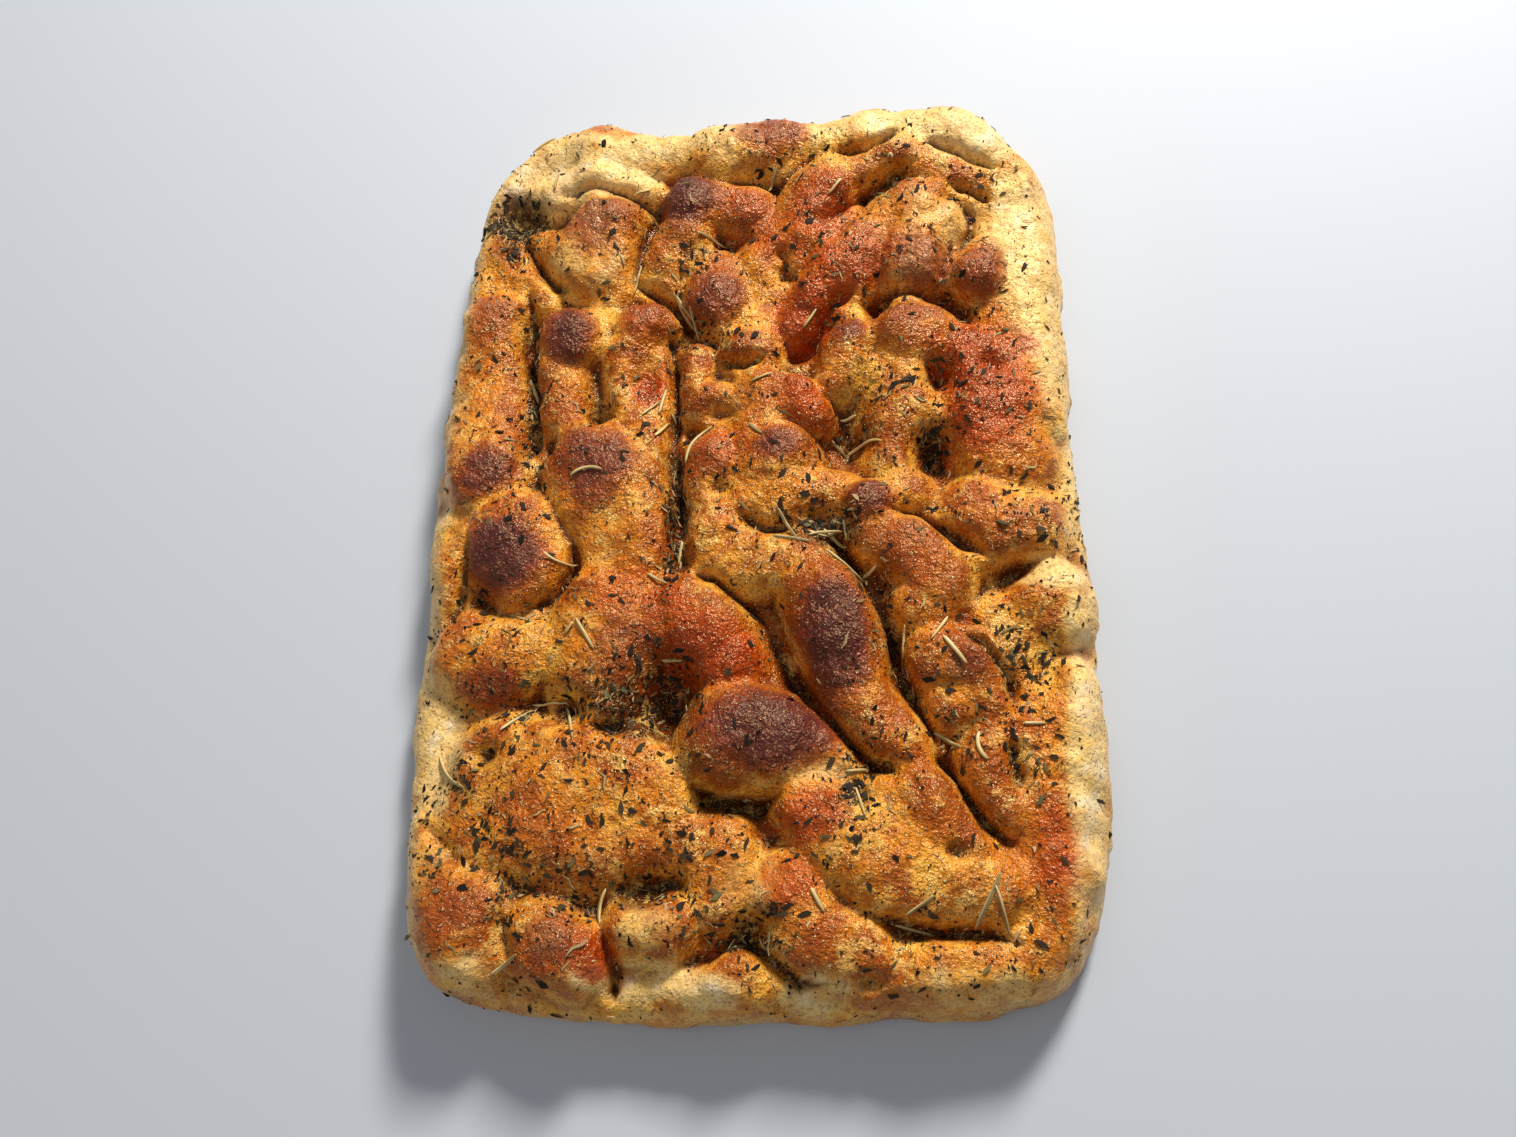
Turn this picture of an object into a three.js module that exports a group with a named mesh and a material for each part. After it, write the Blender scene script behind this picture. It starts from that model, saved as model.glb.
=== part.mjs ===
// Focaccia: one rectangular, hand-dimpled loaf of baked dough lying on its flat underside, with loose
// rosemary needles resting on its crust. Millimetres; +X across the loaf, +Y along it, +Z out of the crust.
//
// The crust is a height field. Bubbles are chains of domes that blend into each other, folds are the
// creases where bubbles press together, and dimples are the finger holes pressed before baking.
import * as THREE from 'three';

// ---------- Driving dimensions, mm ----------
const DOUGH_HEIGHT = 19.5; // crust height where no bubble lifts it
const BUBBLE_SPREAD = 1.37; // how far a bubble's foot reaches, as a multiple of its radius
const BUBBLE_BLEND = 1.45; // softness of the join between two bubbles
const THINNEST_DOUGH = 9; // bottom of the deepest dimple
const THIN_DOUGH_BLEND = 4; // height over which a dimple's bottom rounds off
const FOLD_SHARPNESS = 1.4; // power of a fold's section: higher is squarer
const FOLD_FADE = 4; // how soon a fold reaches its full depth, as depth gained per part of its length
const FOLD_END = 0.15; // depth left at a fold's two ends, as a part of its full depth
const DIMPLE_TIGHTNESS = 1.1; // how fast a dimple's wall rises
const WAIST_HEIGHT = 8; // height of the side wall's widest line
const SHOULDER_WIDTH = 12; // width of the rounded edge from the side wall to the crust
const UNDERSIDE_TUCK = 3; // how far the base is set in below the waist
const WALL_STEPS = 3; // rows of faces from the waist to the underside
const CELLS_ACROSS = 24; // half the number of crust cells along X
const CELLS_ALONG = 36; // half the number of crust cells along Y
const HALF_WIDTH = 119; // sets the grid's proportions
const HALF_LENGTH = 176;
const WAIST_POINTS = 720; // samples of the outline

const NEEDLE_RADIUS = 0.6;
const NEEDLE_SIDES = 6;
const NEEDLE_GAP = 0.35; // air between a needle and what it lies on
const NEEDLE_SAMPLE = 0.6; // spacing of the points tested under a needle
const STEEPEST_NEEDLE = 1.2; // rise over run

// ---------- Shape of the loaf ----------
// The widest line of the side wall, as [x, y], smoothed into a closed curve.
const OUTLINE = [
  [-115, 128], [-108, 148], [-97, 164], [-82, 171], [-62, 174], [-44, 168], [-26, 170], [-8, 174],
  [12, 172], [28, 168], [46, 174], [66, 173], [84, 170], [98, 160], [108, 147], [114, 128], [116, 104],
  [117, 70], [116, 30], [117, -10], [119, -50], [118, -90], [115, -125], [109, -148], [98, -164],
  [80, -172], [50, -176], [15, -177], [-20, -178], [-60, -178], [-88, -174], [-102, -165],
  [-110, -148], [-113, -125], [-117, -95], [-117, -60], [-119, -25], [-121, 10], [-120, 40],
  [-120, 75], [-118, 104]
];

// Bubbles raised by the bake: knots of [x, y, radius, crest height] along each one.
const BUBBLES = {
  rimUpperLeft: [
    [-106, 93, 12, 27], [-105, 110, 11, 26], [-103, 129, 12, 27], [-98, 145, 12, 28],
    [-91, 153, 10, 28]
  ],
  rimTopLeft: [[-80, 153, 11, 29], [-65, 153, 13, 33], [-51, 153, 10, 30]],
  pillow: [[-79, 135, 9, 29], [-65, 138, 11, 33], [-52, 135, 9, 31], [-42, 132, 6, 27]],
  rimTopMidLeft: [[-45, 151, 12, 31], [-32, 149, 10, 31]],
  topBlister: [[-14, 147, 14, 35], [2, 150, 13, 35], [21, 152, 9, 31]],
  thinRidge: [[-3, 139, 6, 27], [10, 142, 7, 29], [23, 148, 8, 31]],
  rimTopMidRight: [[35, 151, 12, 32], [46, 152, 14, 34], [56, 152, 12, 32]],
  rimTopRight: [
    [65, 151, 12, 33], [75, 149, 14, 35], [85, 142, 13.5, 34], [94, 133, 12, 31], [100, 124, 10, 29]
  ],
  longRidge: [
    [25, 129, 10, 33], [32, 134, 10, 32], [39, 135, 9, 32], [47, 137, 9, 32], [56, 142, 9, 34],
    [67, 138, 10, 34], [76, 132, 9.5, 33], [84, 126, 9, 31], [92, 121, 8, 29]
  ],
  upperSpine: [[26, 124, 13, 34], [23, 110, 14, 33], [14, 102, 12, 30], [7, 94, 8, 26]],
  burntCrown: [[-25, 123, 11, 37], [-14, 122, 10, 32], [-3, 120, 11, 31], [3, 114, 9, 28]],
  upperLeftDome: [[-59, 114, 14, 36], [-64, 101, 18, 35], [-60, 92, 13, 30]],
  upperLeftFlank: [[-83, 108, 10, 27], [-79, 96, 8, 26]],
  brownPair: [[-28, 110, 11, 33], [-32, 99, 11, 31], [-35, 90, 10, 28]],
  centreKnuckle: [[-16, 94, 9, 29], [-14, 78, 11, 32], [-11, 70, 7, 27]],
  herbSaddle: [[1, 96, 9, 27], [5, 83, 8, 26]],
  goldenBead: [[1, 69, 8, 27], [-1, 54, 11, 32]],
  redRidge: [[42, 101, 11, 33], [34, 90, 13, 34], [26, 79, 12, 32], [19, 70, 9, 28]],
  upperRightDome: [[53, 112, 11, 33], [62, 115, 13, 36], [70, 111, 10, 34]],
  domeKnob: [[71, 122, 5, 33]],
  upperRightLower: [[62, 101, 12, 35], [62, 89, 13, 34], [59, 80, 9, 30]],
  brownBead: [[86, 93, 8, 31], [83, 84, 10, 35]],
  rimRightUpper: [
    [98, 114, 13, 27], [100, 91, 14, 28], [100, 71, 14, 28], [100, 50, 13, 28], [101, 31, 12, 28]
  ],
  sunDome: [[55, 60, 12, 35], [64, 60, 12, 33], [73, 57, 8, 29]],
  burntBead: [[39, 68, 6, 28], [36, 56, 9, 33], [33, 43, 9, 31]],
  redPlateau: [[80, 49, 12, 31], [85, 29, 16, 32], [90, 10, 13, 30]],
  goldenPlateau: [[53, 44, 12, 30], [54, 28, 13, 30], [50, 15, 11, 29]],
  centreNorth: [[-15, 35, 8, 30], [-6, 26, 9, 28]],
  centreCrest: [[5, 36, 12, 32], [16, 36, 9, 33], [22, 30, 8, 31]],
  centreWest: [[-13, 10, 11, 32], [-16, 2, 9, 29]],
  centreSouth: [[3, 22, 10, 31], [9, 11, 13, 34], [10, 4, 12, 31]],
  thinStrip: [[-21, 53, 7, 28], [-22, 41, 6, 28], [-24, 33, 5, 26]],
  leftRollUpper: [[-102, 72, 14, 33], [-102, 58, 13, 30], [-102, 45, 12, 29]],
  leftRollLower: [[-101, 30, 12, 30], [-97, 9, 16, 34], [-96, -2, 12, 29]],
  holeRidge: [[-98, 105, 8, 28], [-90, 92, 7, 28], [-82, 81, 7, 28]],
  burntKnob: [[-69, 63, 11.5, 36]],
  knobShoulder: [[-62, 70, 8, 30], [-56, 73, 6, 28]],
  leftBead: [[-44, 69, 9, 32], [-39, 70, 8, 31]],
  leftLeg: [[-74, 49, 10, 31], [-73, 35, 10, 30], [-69, 23, 9, 30]],
  rightLeg: [[-48, 58, 10, 30], [-45, 43, 9, 29], [-42, 30, 8, 29], [-37, 17, 9, 30]],
  greatDome: [[-59, 13, 15, 35], [-51, 0, 19, 35], [-44, -16, 17, 33]],
  redStrip: [[-33, 54, 6, 26], [-33, 35, 6, 27], [-30, 20, 5, 25]],
  rimLeftMid: [[-109, -15, 10, 27], [-107, -28, 11, 30], [-107, -42, 9, 28]],
  burntDome: [[-86, -20, 17, 37], [-76, -30, 14, 33]],
  leftPlateau: [[-43, -22, 16, 32], [-45, -34, 15, 31]],
  leftLowLobe: [[-97, -58, 12, 29], [-86, -62, 14, 31], [-74, -58, 11, 30]],
  broadLobe: [[-52, -45, 14, 33], [-50, -60, 16, 33], [-52, -75, 14, 31]],
  paprikaLobe: [[-22, -42, 11, 32], [-14, -52, 14, 34], [-8, -62, 11, 31]],
  lobeLink: [[-36, -50, 12, 31]],
  rollRoot: [[-13, -18, 10, 31], [-6, -31, 12, 30]],
  greatRoll: [
    [5, -28, 12, 31], [17, -29, 10, 32], [27, -42, 12, 36], [31, -58, 12, 36], [37, -75, 11, 33],
    [46, -88, 11, 32], [53, -95, 9, 30]
  ],
  midPlateau: [[-11, -6, 11, 29], [1, -6, 13, 30], [18, -7, 12, 30], [30, -6, 10, 28]],
  midBead: [[42, -8, 9, 33]],
  rightMidLobe: [[48, -20, 11, 31], [56, -24, 12, 33], [64, -36, 12, 33], [60, -44, 11, 30]],
  rightLink: [[54, -2, 10, 29], [50, -6, 9, 28]],
  rightPlateau: [[82, -16, 15, 32], [96, -17, 13, 31]],
  orangeBead: [[64, -64, 11, 32], [74, -66, 11, 34], [76, -78, 9, 31], [66, -80, 9, 29]],
  rimRightKnob: [[104, -45, 13, 30]],
  rimRightLow: [[105, -78, 12, 28], [104, -95, 12, 28]],
  rightRidge: [[82, -84, 8, 29], [78, -98, 9, 30], [82, -112, 8, 29]],
  rightBank: [[90, -90, 8, 28], [93, -102, 10, 28], [98, -115, 11, 28]],
  herbBank: [[84, -50, 8, 26], [92, -62, 9, 26], [94, -76, 9, 26]],
  lowRightLobe: [[45, -112, 9, 30], [57, -112, 12, 33], [66, -122, 11, 31]],
  lowRightRoll: [
    [22, -112, 11, 32], [30, -122, 13, 33], [45, -130, 15, 33], [60, -135, 13, 32], [76, -137, 11, 30]
  ],
  greatBubble: [[-3, -90, 17, 37], [8, -92, 14, 36]],
  bubbleFlank: [[22, -94, 12, 30], [31, -102, 7, 27]],
  lowLeftUpper: [[-80, -100, 15, 29], [-60, -102, 17, 31], [-42, -103, 15, 31], [-28, -108, 12, 30]],
  lowLeftLower: [[-85, -118, 14, 28], [-65, -120, 15, 30], [-45, -122, 15, 30], [-25, -122, 12, 29]],
  cornerBubble: [[-98, -143, 14, 30], [-90, -150, 15, 32], [-85, -155, 12, 30]],
  cornerRim: [[-103, -130, 12, 27]],
  redBubble: [[-63, -153, 11, 31], [-54, -157, 11, 31]],
  lowMidLobe: [[-34, -150, 9, 30], [-24, -150, 10, 31]],
  lowCentre: [[-8, -128, 11, 29], [-8, -140, 9, 28]],
  lowRedLobe: [[15, -140, 13, 31], [22, -152, 12, 31], [36, -155, 10, 30]],
  bottomFlap: [[-14, -167, 9, 22], [-2, -163, 9, 26], [8, -168, 9, 24]],
  rimBottomRight: [[42, -162, 10, 27], [58, -162, 11, 28], [74, -161, 10, 27], [88, -157, 9, 26]],
  rimCornerRight: [[97, -132, 13, 27], [96, -146, 11, 26]],
};

// Creases between bubbles: depth, half width, and the line they follow as [x, y].
const FOLDS = {
  leftLong: { depth: 9, halfWidth: 2.2, path: [
    [-89, 90], [-87, 76], [-88, 61], [-84, 50], [-81, 38], [-81, 21], [-85, 6]
  ] },
  centralLong: { depth: 9, halfWidth: 2.2, path: [
    [-34, 74], [-31, 60], [-29, 48], [-28, 36], [-29, 20], [-28, 6], [-25, -9], [-25, -21], [-23, -33]
  ] },
  domeEdge: { depth: 5, halfWidth: 2, path: [[-95, 114], [-90, 106], [-85, 97], [-78, 89], [-71, 85]] },
  domeRight: { depth: 5, halfWidth: 2, path: [[-40, 121], [-44, 110], [-46, 98], [-48, 87]] },
  underPillow: { depth: 4, halfWidth: 2, path: [
    [-81, 131], [-72, 131], [-64, 133], [-50, 129], [-41, 124]
  ] },
  ridgeUnder: { depth: 9, halfWidth: 2.4, path: [
    [24, 108], [32, 115], [39, 122], [47, 129], [55, 133], [62, 134]
  ] },
  rimRightFold: { depth: 6, halfWidth: 1.6, path: [[66, 144], [75, 140], [85, 134], [96, 130]] },
  rimRightFoldLow: { depth: 5, halfWidth: 2, path: [[75, 124], [84, 121], [92, 116]] },
  beadGap: { depth: 6, halfWidth: 2, path: [[75, 101], [73, 90], [69, 79]] },
  topFold: { depth: 6, halfWidth: 1.6, path: [[30, 144], [37, 143], [43, 143], [50, 146], [57, 151]] },
  sunUpper: { depth: 8, halfWidth: 2.2, path: [
    [44, 64], [45, 74], [51, 78], [61, 78], [70, 76], [77, 69]
  ] },
  redValley: { depth: 5, halfWidth: 3, path: [[8, 100], [12, 95], [10, 86]] },
  underRed: { depth: 8, halfWidth: 2.6, path: [[12, 54], [22, 60], [30, 74], [40, 80]] },
  beadUnder: { depth: 7, halfWidth: 2.2, path: [[-13, 52], [-3, 49], [6, 52]] },
  knuckleUnder: { depth: 7, halfWidth: 2.2, path: [[-48, 90], [-36, 82], [-27, 72], [-16, 67]] },
  rollRight: { depth: 9, halfWidth: 2.2, path: [
    [26, -17], [32, -22], [37, -32], [44, -46], [49, -60], [54, -75], [60, -88], [63, -98]
  ] },
  rollLeft: { depth: 8, halfWidth: 2.2, path: [
    [6, -50], [14, -68], [23, -80], [33, -91], [41, -99], [50, -104]
  ] },
  rollUpper: { depth: 6, halfWidth: 2.2, path: [[-4, -11], [6, -17], [16, -15]] },
  paprikaEdge: { depth: 8, halfWidth: 2.2, path: [[-20, -33], [-11, -36], [-4, -42], [6, -50]] },
  domeUnder: { depth: 7, halfWidth: 1.9, path: [[-62, -20], [-61, -31], [-67, -40], [-78, -46]] },
  midLobeUpper: { depth: 8, halfWidth: 2.2, path: [[46, -11], [59, -13], [70, -21], [82, -30]] },
  beadUpper: { depth: 8, halfWidth: 2.2, path: [[68, -54], [78, -60], [85, -70], [88, -82]] },
  ridgeLeft: { depth: 8, halfWidth: 2.2, path: [[60, -95], [68, -105], [76, -118], [84, -123]] },
  ridgeRight: { depth: 5, halfWidth: 1.9, path: [[85, -92], [87, -108]] },
  bubbleUnder: { depth: 8, halfWidth: 2.2, path: [[-17, -106], [-8, -111], [4, -113], [13, -109]] },
  lowRollUnder: { depth: 7, halfWidth: 1.9, path: [
    [40, -145], [50, -148.6], [61, -151], [76, -151], [86, -154]
  ] },
  flapEdge: { depth: 7, halfWidth: 1.9, path: [
    [-20, -161], [-10, -158], [-1, -154], [8, -157], [18, -165], [28, -166]
  ] },
  lowLeftFold: { depth: 4, halfWidth: 1.9, path: [[-51, -86], [-39, -88]] },
  bubbleGap: { depth: 5, halfWidth: 1.9, path: [[-44, -149], [-40, -163], [-39, -172]] },
  cornerGap: { depth: 4, halfWidth: 1.9, path: [[-76, -146], [-71, -161]] },
  rimLeftFold: { depth: 5, halfWidth: 1.9, path: [[-100, -10], [-100, -30], [-102, -44], [-108, -52]] },
  lowRimFold: { depth: 3, halfWidth: 1.9, path: [[-106, -118], [-98, -124], [-90, -132]] },
};

// Finger dimples and blown holes: [x, y, radius along X, radius along Y, depth].
const DIMPLES = {
  cornerHole: [-97, 125, 7, 8, 11],
  knotHole: [-57, 31, 5, 6, 9],
  narrowHole: [-74, 18, 3.5, 6, 9],
  redHollow: [-41, 46, 6, 9, 5],
  rosemaryPit: [36, 17, 9, 8, 9],
  valley: [36, 32, 9, 10, 4],
  twinHoleLeft: [68, 42, 5, 5, 7],
  twinHoleRight: [87, 44, 5, 4, 6],
  deepHole: [64, 13, 7, 9, 10],
  herbDent: [-12, 29, 6, 4, 5],
  smallDent: [-11, -2, 5, 4, 4],
  pinePit: [24, -13, 8, 5, 5],
  blackPit: [-25, -78, 8, 11, 10],
  rosemaryHole: [-59, -80, 6, 6, 10],
  sideDent: [-70, -78, 8, 4, 3],
  pinHole: [-86, -96, 4, 4, 7],
  blackDent: [-30, -139, 9, 5, 7],
  brownHole: [4, -149, 6, 4, 7],
  paleCleft: [91, -33, 8, 4, 5],
  edgePit: [39, -165, 5, 3, 4],
  frecklePit: [66, -127, 4, 3, 4],
  sideCup: [97, -70, 7, 10, 4],
};

// Rosemary needles: [start x, start y, end x, end y, sideways bow].
const NEEDLES = [
  [-94, 157, -84, 162, 0], [-81, 143, -81, 133, 0], [-49, 129, -42, 131, 0], [-51, 97, -50, 93, 0],
  [-44, 96, -47, 84, 0], [-31, 83, -22, 70, 0], [-30, 81, -20, 66, 1], [-24, 75, -21, 64, 0],
  [-21, 106, -11, 107, 0], [9, 138, 5, 129, 0], [34, 126, 29, 120, 0], [54, 136, 52, 136, 1.5],
  [24, 71, 19, 64, 0], [8, 42, 0, 39, 0], [-63, 2, -51, 3, -2], [-86, 50, -82, 40, 0],
  [-40, 28, -34, 35, 0], [-34, 30, -32, 41, 0], [-30, 32, -29, 29, 0], [-34, 19, -31, 28, 0],
  [-23, 9, -14, 24, -2], [29, 21, 34, 17, 0], [34, 17, 47, 15, -2], [32, 29, 38, 30, 0],
  [0, 22, 5, 17, 0], [10, -10, 18, -24, 0], [9, -21, 22, -24, 0], [21, -18, 31, -17, 1.5],
  [26, -16, 34, -23, 0], [27, -27, 40, -36, 0], [44, -31, 39, -34, 0], [-70, -27, -60, -28, 2],
  [-57, -51, -50, -62, 0], [-58, -52, -61, -56, 0], [-24, -19, -25, -28, 0], [-34, -34, -27, -38, 0],
  [53, -53, 52, -64, 0], [67, -51, 61, -60, 0], [65, -59, 72, -69, 0], [75, -90, 77, -99, 1.5],
  [61, -89, 69, -94, 0], [89, -87, 96, -87, 0], [-81, -88, -73, -79, 0], [-74, -77, -60, -78, 0],
  [-104, -95, -91, -107, 2], [-61, -79, -56, -91, 0], [-29, -63, -21, -65, 0], [22, -138, 26, -145, 0],
  [50, -146, 59, -140, 0], [71, -149, 79, -133, 0], [77, -137, 81, -151, 0], [-77, -164, -68, -158, 0],
  [-43, -138, -44, -149, 1.5], [33, -102, 40, -101, 0], [36, -107, 39, -117, 0],
  [47, -148, 59, -151, 0], [21, -20, 33, -18, -1.5], [33, -14, 34, -22, 0], [26, -16, 33, -22, 0]
];

// ---------- Materials ----------
const crust = new THREE.MeshStandardMaterial({ color: 0xc98a3f, roughness: 0.55, metalness: 0 });
const rosemary = new THREE.MeshStandardMaterial({ color: 0x8a7d45, roughness: 0.7, metalness: 0 });

// ---------- Crust height ----------
// Distance from (x, y) to the segment a-b, and how far along it the nearest point lies.
function toSegment(x, y, a, b) {
  const dx = b[0] - a[0];
  const dy = b[1] - a[1];
  const along = ((x - a[0]) * dx + (y - a[1]) * dy) / (dx * dx + dy * dy);
  const t = Math.min(Math.max(along, 0), 1);
  return { distance: Math.hypot(x - a[0] - t * dx, y - a[1] - t * dy), t };
}

// Calls visit(a, b) for each straight stretch of a chain of knots.
function eachStretch(knots, visit) {
  if (knots.length === 1) {
    const [x, ...rest] = knots[0];
    visit(knots[0], [x + 0.01, ...rest]);
  }
  for (let i = 0; i + 1 < knots.length; i += 1) visit(knots[i], knots[i + 1]);
}

// Height of one bubble above the board at (x, y): a dome that steepens towards its foot.
function bubbleHeight(x, y, knots) {
  let best = -Infinity;
  eachStretch(knots, (a, b) => {
    const { distance, t } = toSegment(x, y, a, b);
    const radius = THREE.MathUtils.lerp(a[2], b[2], t) * BUBBLE_SPREAD;
    const crest = THREE.MathUtils.lerp(a[3], b[3], t);
    const u2 = (distance / radius) ** 2;
    const fall = Math.min(0.4 * u2 + 0.6 * u2 * u2, 3);
    best = Math.max(best, crest - (crest - DOUGH_HEIGHT) * fall);
  });
  return best;
}

// The bubbles wander a little, as hand-stretched dough does.
function wander(x, y) {
  return [
    x + 1.5 * Math.sin(y / 9 + 0.7) * Math.cos(x / 13),
    y + 1.5 * Math.sin(x / 8 + 1.9) * Math.cos(y / 12),
  ];
}

// How deep a fold is at (x, y), as a part of its full depth: it narrows and fades towards both ends.
function foldShare(x, y, halfWidth, path) {
  let distance = Infinity;
  let share = 0;
  for (let i = 0; i + 1 < path.length; i += 1) {
    const near = toSegment(x, y, path[i], path[i + 1]);
    if (near.distance < distance) {
      distance = near.distance;
      share = (i + near.t) / (path.length - 1);
    }
  }
  const fade = Math.min(FOLD_FADE * Math.min(share, 1 - share) + FOLD_END, 1);
  const width = halfWidth * (0.5 + 0.5 * fade);
  return fade * Math.exp(-((distance / width) ** FOLD_SHARPNESS));
}

// Height of the crust above the underside at (x, y), before the edge is rounded over.
function crustHeight(x, y) {
  const [wx, wy] = wander(x, y);
  let sum = Math.exp(DOUGH_HEIGHT / BUBBLE_BLEND);
  for (const knots of Object.values(BUBBLES)) sum += Math.exp(bubbleHeight(wx, wy, knots) / BUBBLE_BLEND);
  let height = BUBBLE_BLEND * Math.log(sum);
  for (const { depth, halfWidth, path } of Object.values(FOLDS)) {
    height -= depth * foldShare(x, y, halfWidth, path);
  }
  for (const [cx, cy, rx, ry, depth] of Object.values(DIMPLES)) {
    const u2 = ((x - cx) / rx) ** 2 + ((y - cy) / ry) ** 2;
    height -= depth * Math.exp(-u2 * DIMPLE_TIGHTNESS);
  }
  const soft = THINNEST_DOUGH + THIN_DOUGH_BLEND;
  if (height >= soft) return height;
  return THINNEST_DOUGH + THIN_DOUGH_BLEND * Math.exp((height - soft) / THIN_DOUGH_BLEND);
}

// ---------- Outline ----------
// The outline as a polar curve about the middle of the loaf: its radius for each direction.
class Waist {
  constructor(points) {
    const knots = points.map(([x, y]) => new THREE.Vector3(x, y, 0));
    const fine = new THREE.CatmullRomCurve3(knots, true, 'catmullrom', 0.5).getPoints(WAIST_POINTS).slice(1);
    this.samples = fine
      .map((p) => ({ angle: Math.atan2(p.y, p.x), radius: Math.hypot(p.x, p.y) }))
      .sort((a, b) => a.angle - b.angle);
  }

  radius(angle) {
    const list = this.samples;
    const found = list.findIndex((sample) => sample.angle >= angle);
    const next = list[found < 0 ? 0 : found];
    const last = list[found <= 0 ? list.length - 1 : found - 1];
    const turn = (value) => THREE.MathUtils.euclideanModulo(value, 2 * Math.PI);
    const t = turn(angle - last.angle) / turn(next.angle - last.angle);
    return THREE.MathUtils.lerp(last.radius, next.radius, t);
  }

  // How squarely the edge faces this direction: 1 where it is at right angles to the ray.
  facing(angle) {
    const step = 0.02;
    const slope = (this.radius(angle + step) - this.radius(angle - step)) / (2 * step);
    const radius = this.radius(angle);
    return radius / Math.hypot(radius, slope);
  }

  // Distance of (x, y) inside the waist.
  inset(x, y) {
    const angle = Math.atan2(y, x);
    return (this.radius(angle) - Math.hypot(x, y)) * this.facing(angle);
  }

  // The point set in from the waist by a distance, in this direction.
  point(angle, inset) {
    const reach = this.radius(angle) - inset / this.facing(angle);
    return [reach * Math.cos(angle), reach * Math.sin(angle)];
  }
}

// ---------- Loaf ----------
// Height of the finished surface: the crust, rounded over into the side wall near the edge.
function surfaceHeight(waist, x, y) {
  const in01 = THREE.MathUtils.clamp(waist.inset(x, y) / SHOULDER_WIDTH, 0, 1);
  const shoulder = Math.sqrt(1 - (1 - in01) ** 2);
  return WAIST_HEIGHT + (crustHeight(x, y) - WAIST_HEIGHT) * shoulder;
}

// The directions of the border cells of the crust grid, counter-clockwise seen from above.
function cellDirection(column, row) {
  return Math.atan2((row / CELLS_ALONG) * HALF_LENGTH, (column / CELLS_ACROSS) * HALF_WIDTH);
}

function borderCells() {
  const cells = [];
  for (let x = -CELLS_ACROSS; x < CELLS_ACROSS; x += 1) cells.push([x, -CELLS_ALONG]);
  for (let y = -CELLS_ALONG; y < CELLS_ALONG; y += 1) cells.push([CELLS_ACROSS, y]);
  for (let x = CELLS_ACROSS; x > -CELLS_ACROSS; x -= 1) cells.push([x, CELLS_ALONG]);
  for (let y = CELLS_ALONG; y > -CELLS_ALONG; y -= 1) cells.push([-CELLS_ACROSS, y]);
  return cells;
}

// One closed body: a grid stretched onto the outline for the crust, rows down the side wall, a flat base.
function loafGeometry(waist) {
  const positions = [];
  const faces = [];
  const addVertex = (x, y, z) => positions.push(x, y, z) / 3 - 1;
  const addQuad = (a, b, c, d) => faces.push(a, b, c, a, c, d);
  const drop = (a, b) => Math.abs(positions[3 * a + 2] - positions[3 * b + 2]);
  // A crust cell is split along its more level diagonal, so that ridges and folds stay unbroken.
  const addCell = (a, b, c, d) => (drop(a, c) <= drop(b, d) ? addQuad(a, b, c, d) : addQuad(b, c, d, a));

  const crustIndex = new Map();
  for (let row = -CELLS_ALONG; row <= CELLS_ALONG; row += 1) {
    for (let column = -CELLS_ACROSS; column <= CELLS_ACROSS; column += 1) {
      const ring = Math.max(Math.abs(column) / CELLS_ACROSS, Math.abs(row) / CELLS_ALONG);
      const angle = cellDirection(column, row);
      const reach = ring * waist.radius(angle);
      const x = reach * Math.cos(angle);
      const y = reach * Math.sin(angle);
      crustIndex.set(`${column},${row}`, addVertex(x, y, surfaceHeight(waist, x, y)));
    }
  }
  const at = (column, row) => crustIndex.get(`${column},${row}`);
  for (let row = -CELLS_ALONG; row < CELLS_ALONG; row += 1) {
    for (let column = -CELLS_ACROSS; column < CELLS_ACROSS; column += 1) {
      addCell(at(column, row), at(column + 1, row), at(column + 1, row + 1), at(column, row + 1));
    }
  }

  const border = borderCells();
  let upper = border.map(([column, row]) => at(column, row));
  for (let step = 1; step <= WALL_STEPS; step += 1) {
    const turn = (step / WALL_STEPS) * (Math.PI / 2);
    const inset = UNDERSIDE_TUCK * (1 - Math.cos(turn));
    const z = step === WALL_STEPS ? 0 : WAIST_HEIGHT * (1 - Math.sin(turn));
    const lower = border.map(([column, row]) => {
      const [x, y] = waist.point(cellDirection(column, row), inset);
      return addVertex(x, y, z);
    });
    upper.forEach((_, i) => {
      const next = (i + 1) % upper.length;
      addQuad(lower[i], lower[next], upper[next], upper[i]);
    });
    upper = lower;
  }

  const middle = addVertex(0, 0, 0);
  upper.forEach((index, i) => faces.push(upper[(i + 1) % upper.length], index, middle));

  const geometry = new THREE.BufferGeometry();
  geometry.setAttribute('position', new THREE.Float32BufferAttribute(positions, 3));
  geometry.setIndex(faces);
  geometry.computeVertexNormals();
  return geometry;
}

// ---------- Rosemary ----------
// A dried needle along +Y: blunt at the stalk end, pointed at the tip, bowed along +X.
function needleGeometry(length, bow) {
  const profile = [
    [0, -0.5], [0.8, -0.46], [1, -0.15], [0.9, 0.25], [0.5, 0.44], [0, 0.5],
  ].map(([radius, along]) => new THREE.Vector2(radius * NEEDLE_RADIUS, along * length));
  const geometry = new THREE.LatheGeometry(profile, NEEDLE_SIDES);
  const position = geometry.getAttribute('position');
  for (let i = 0; i < position.count; i += 1) {
    const along = (2 * position.getY(i)) / length;
    position.setX(i, position.getX(i) + bow * (1 - along * along));
  }
  geometry.computeVertexNormals();
  return geometry;
}

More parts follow.
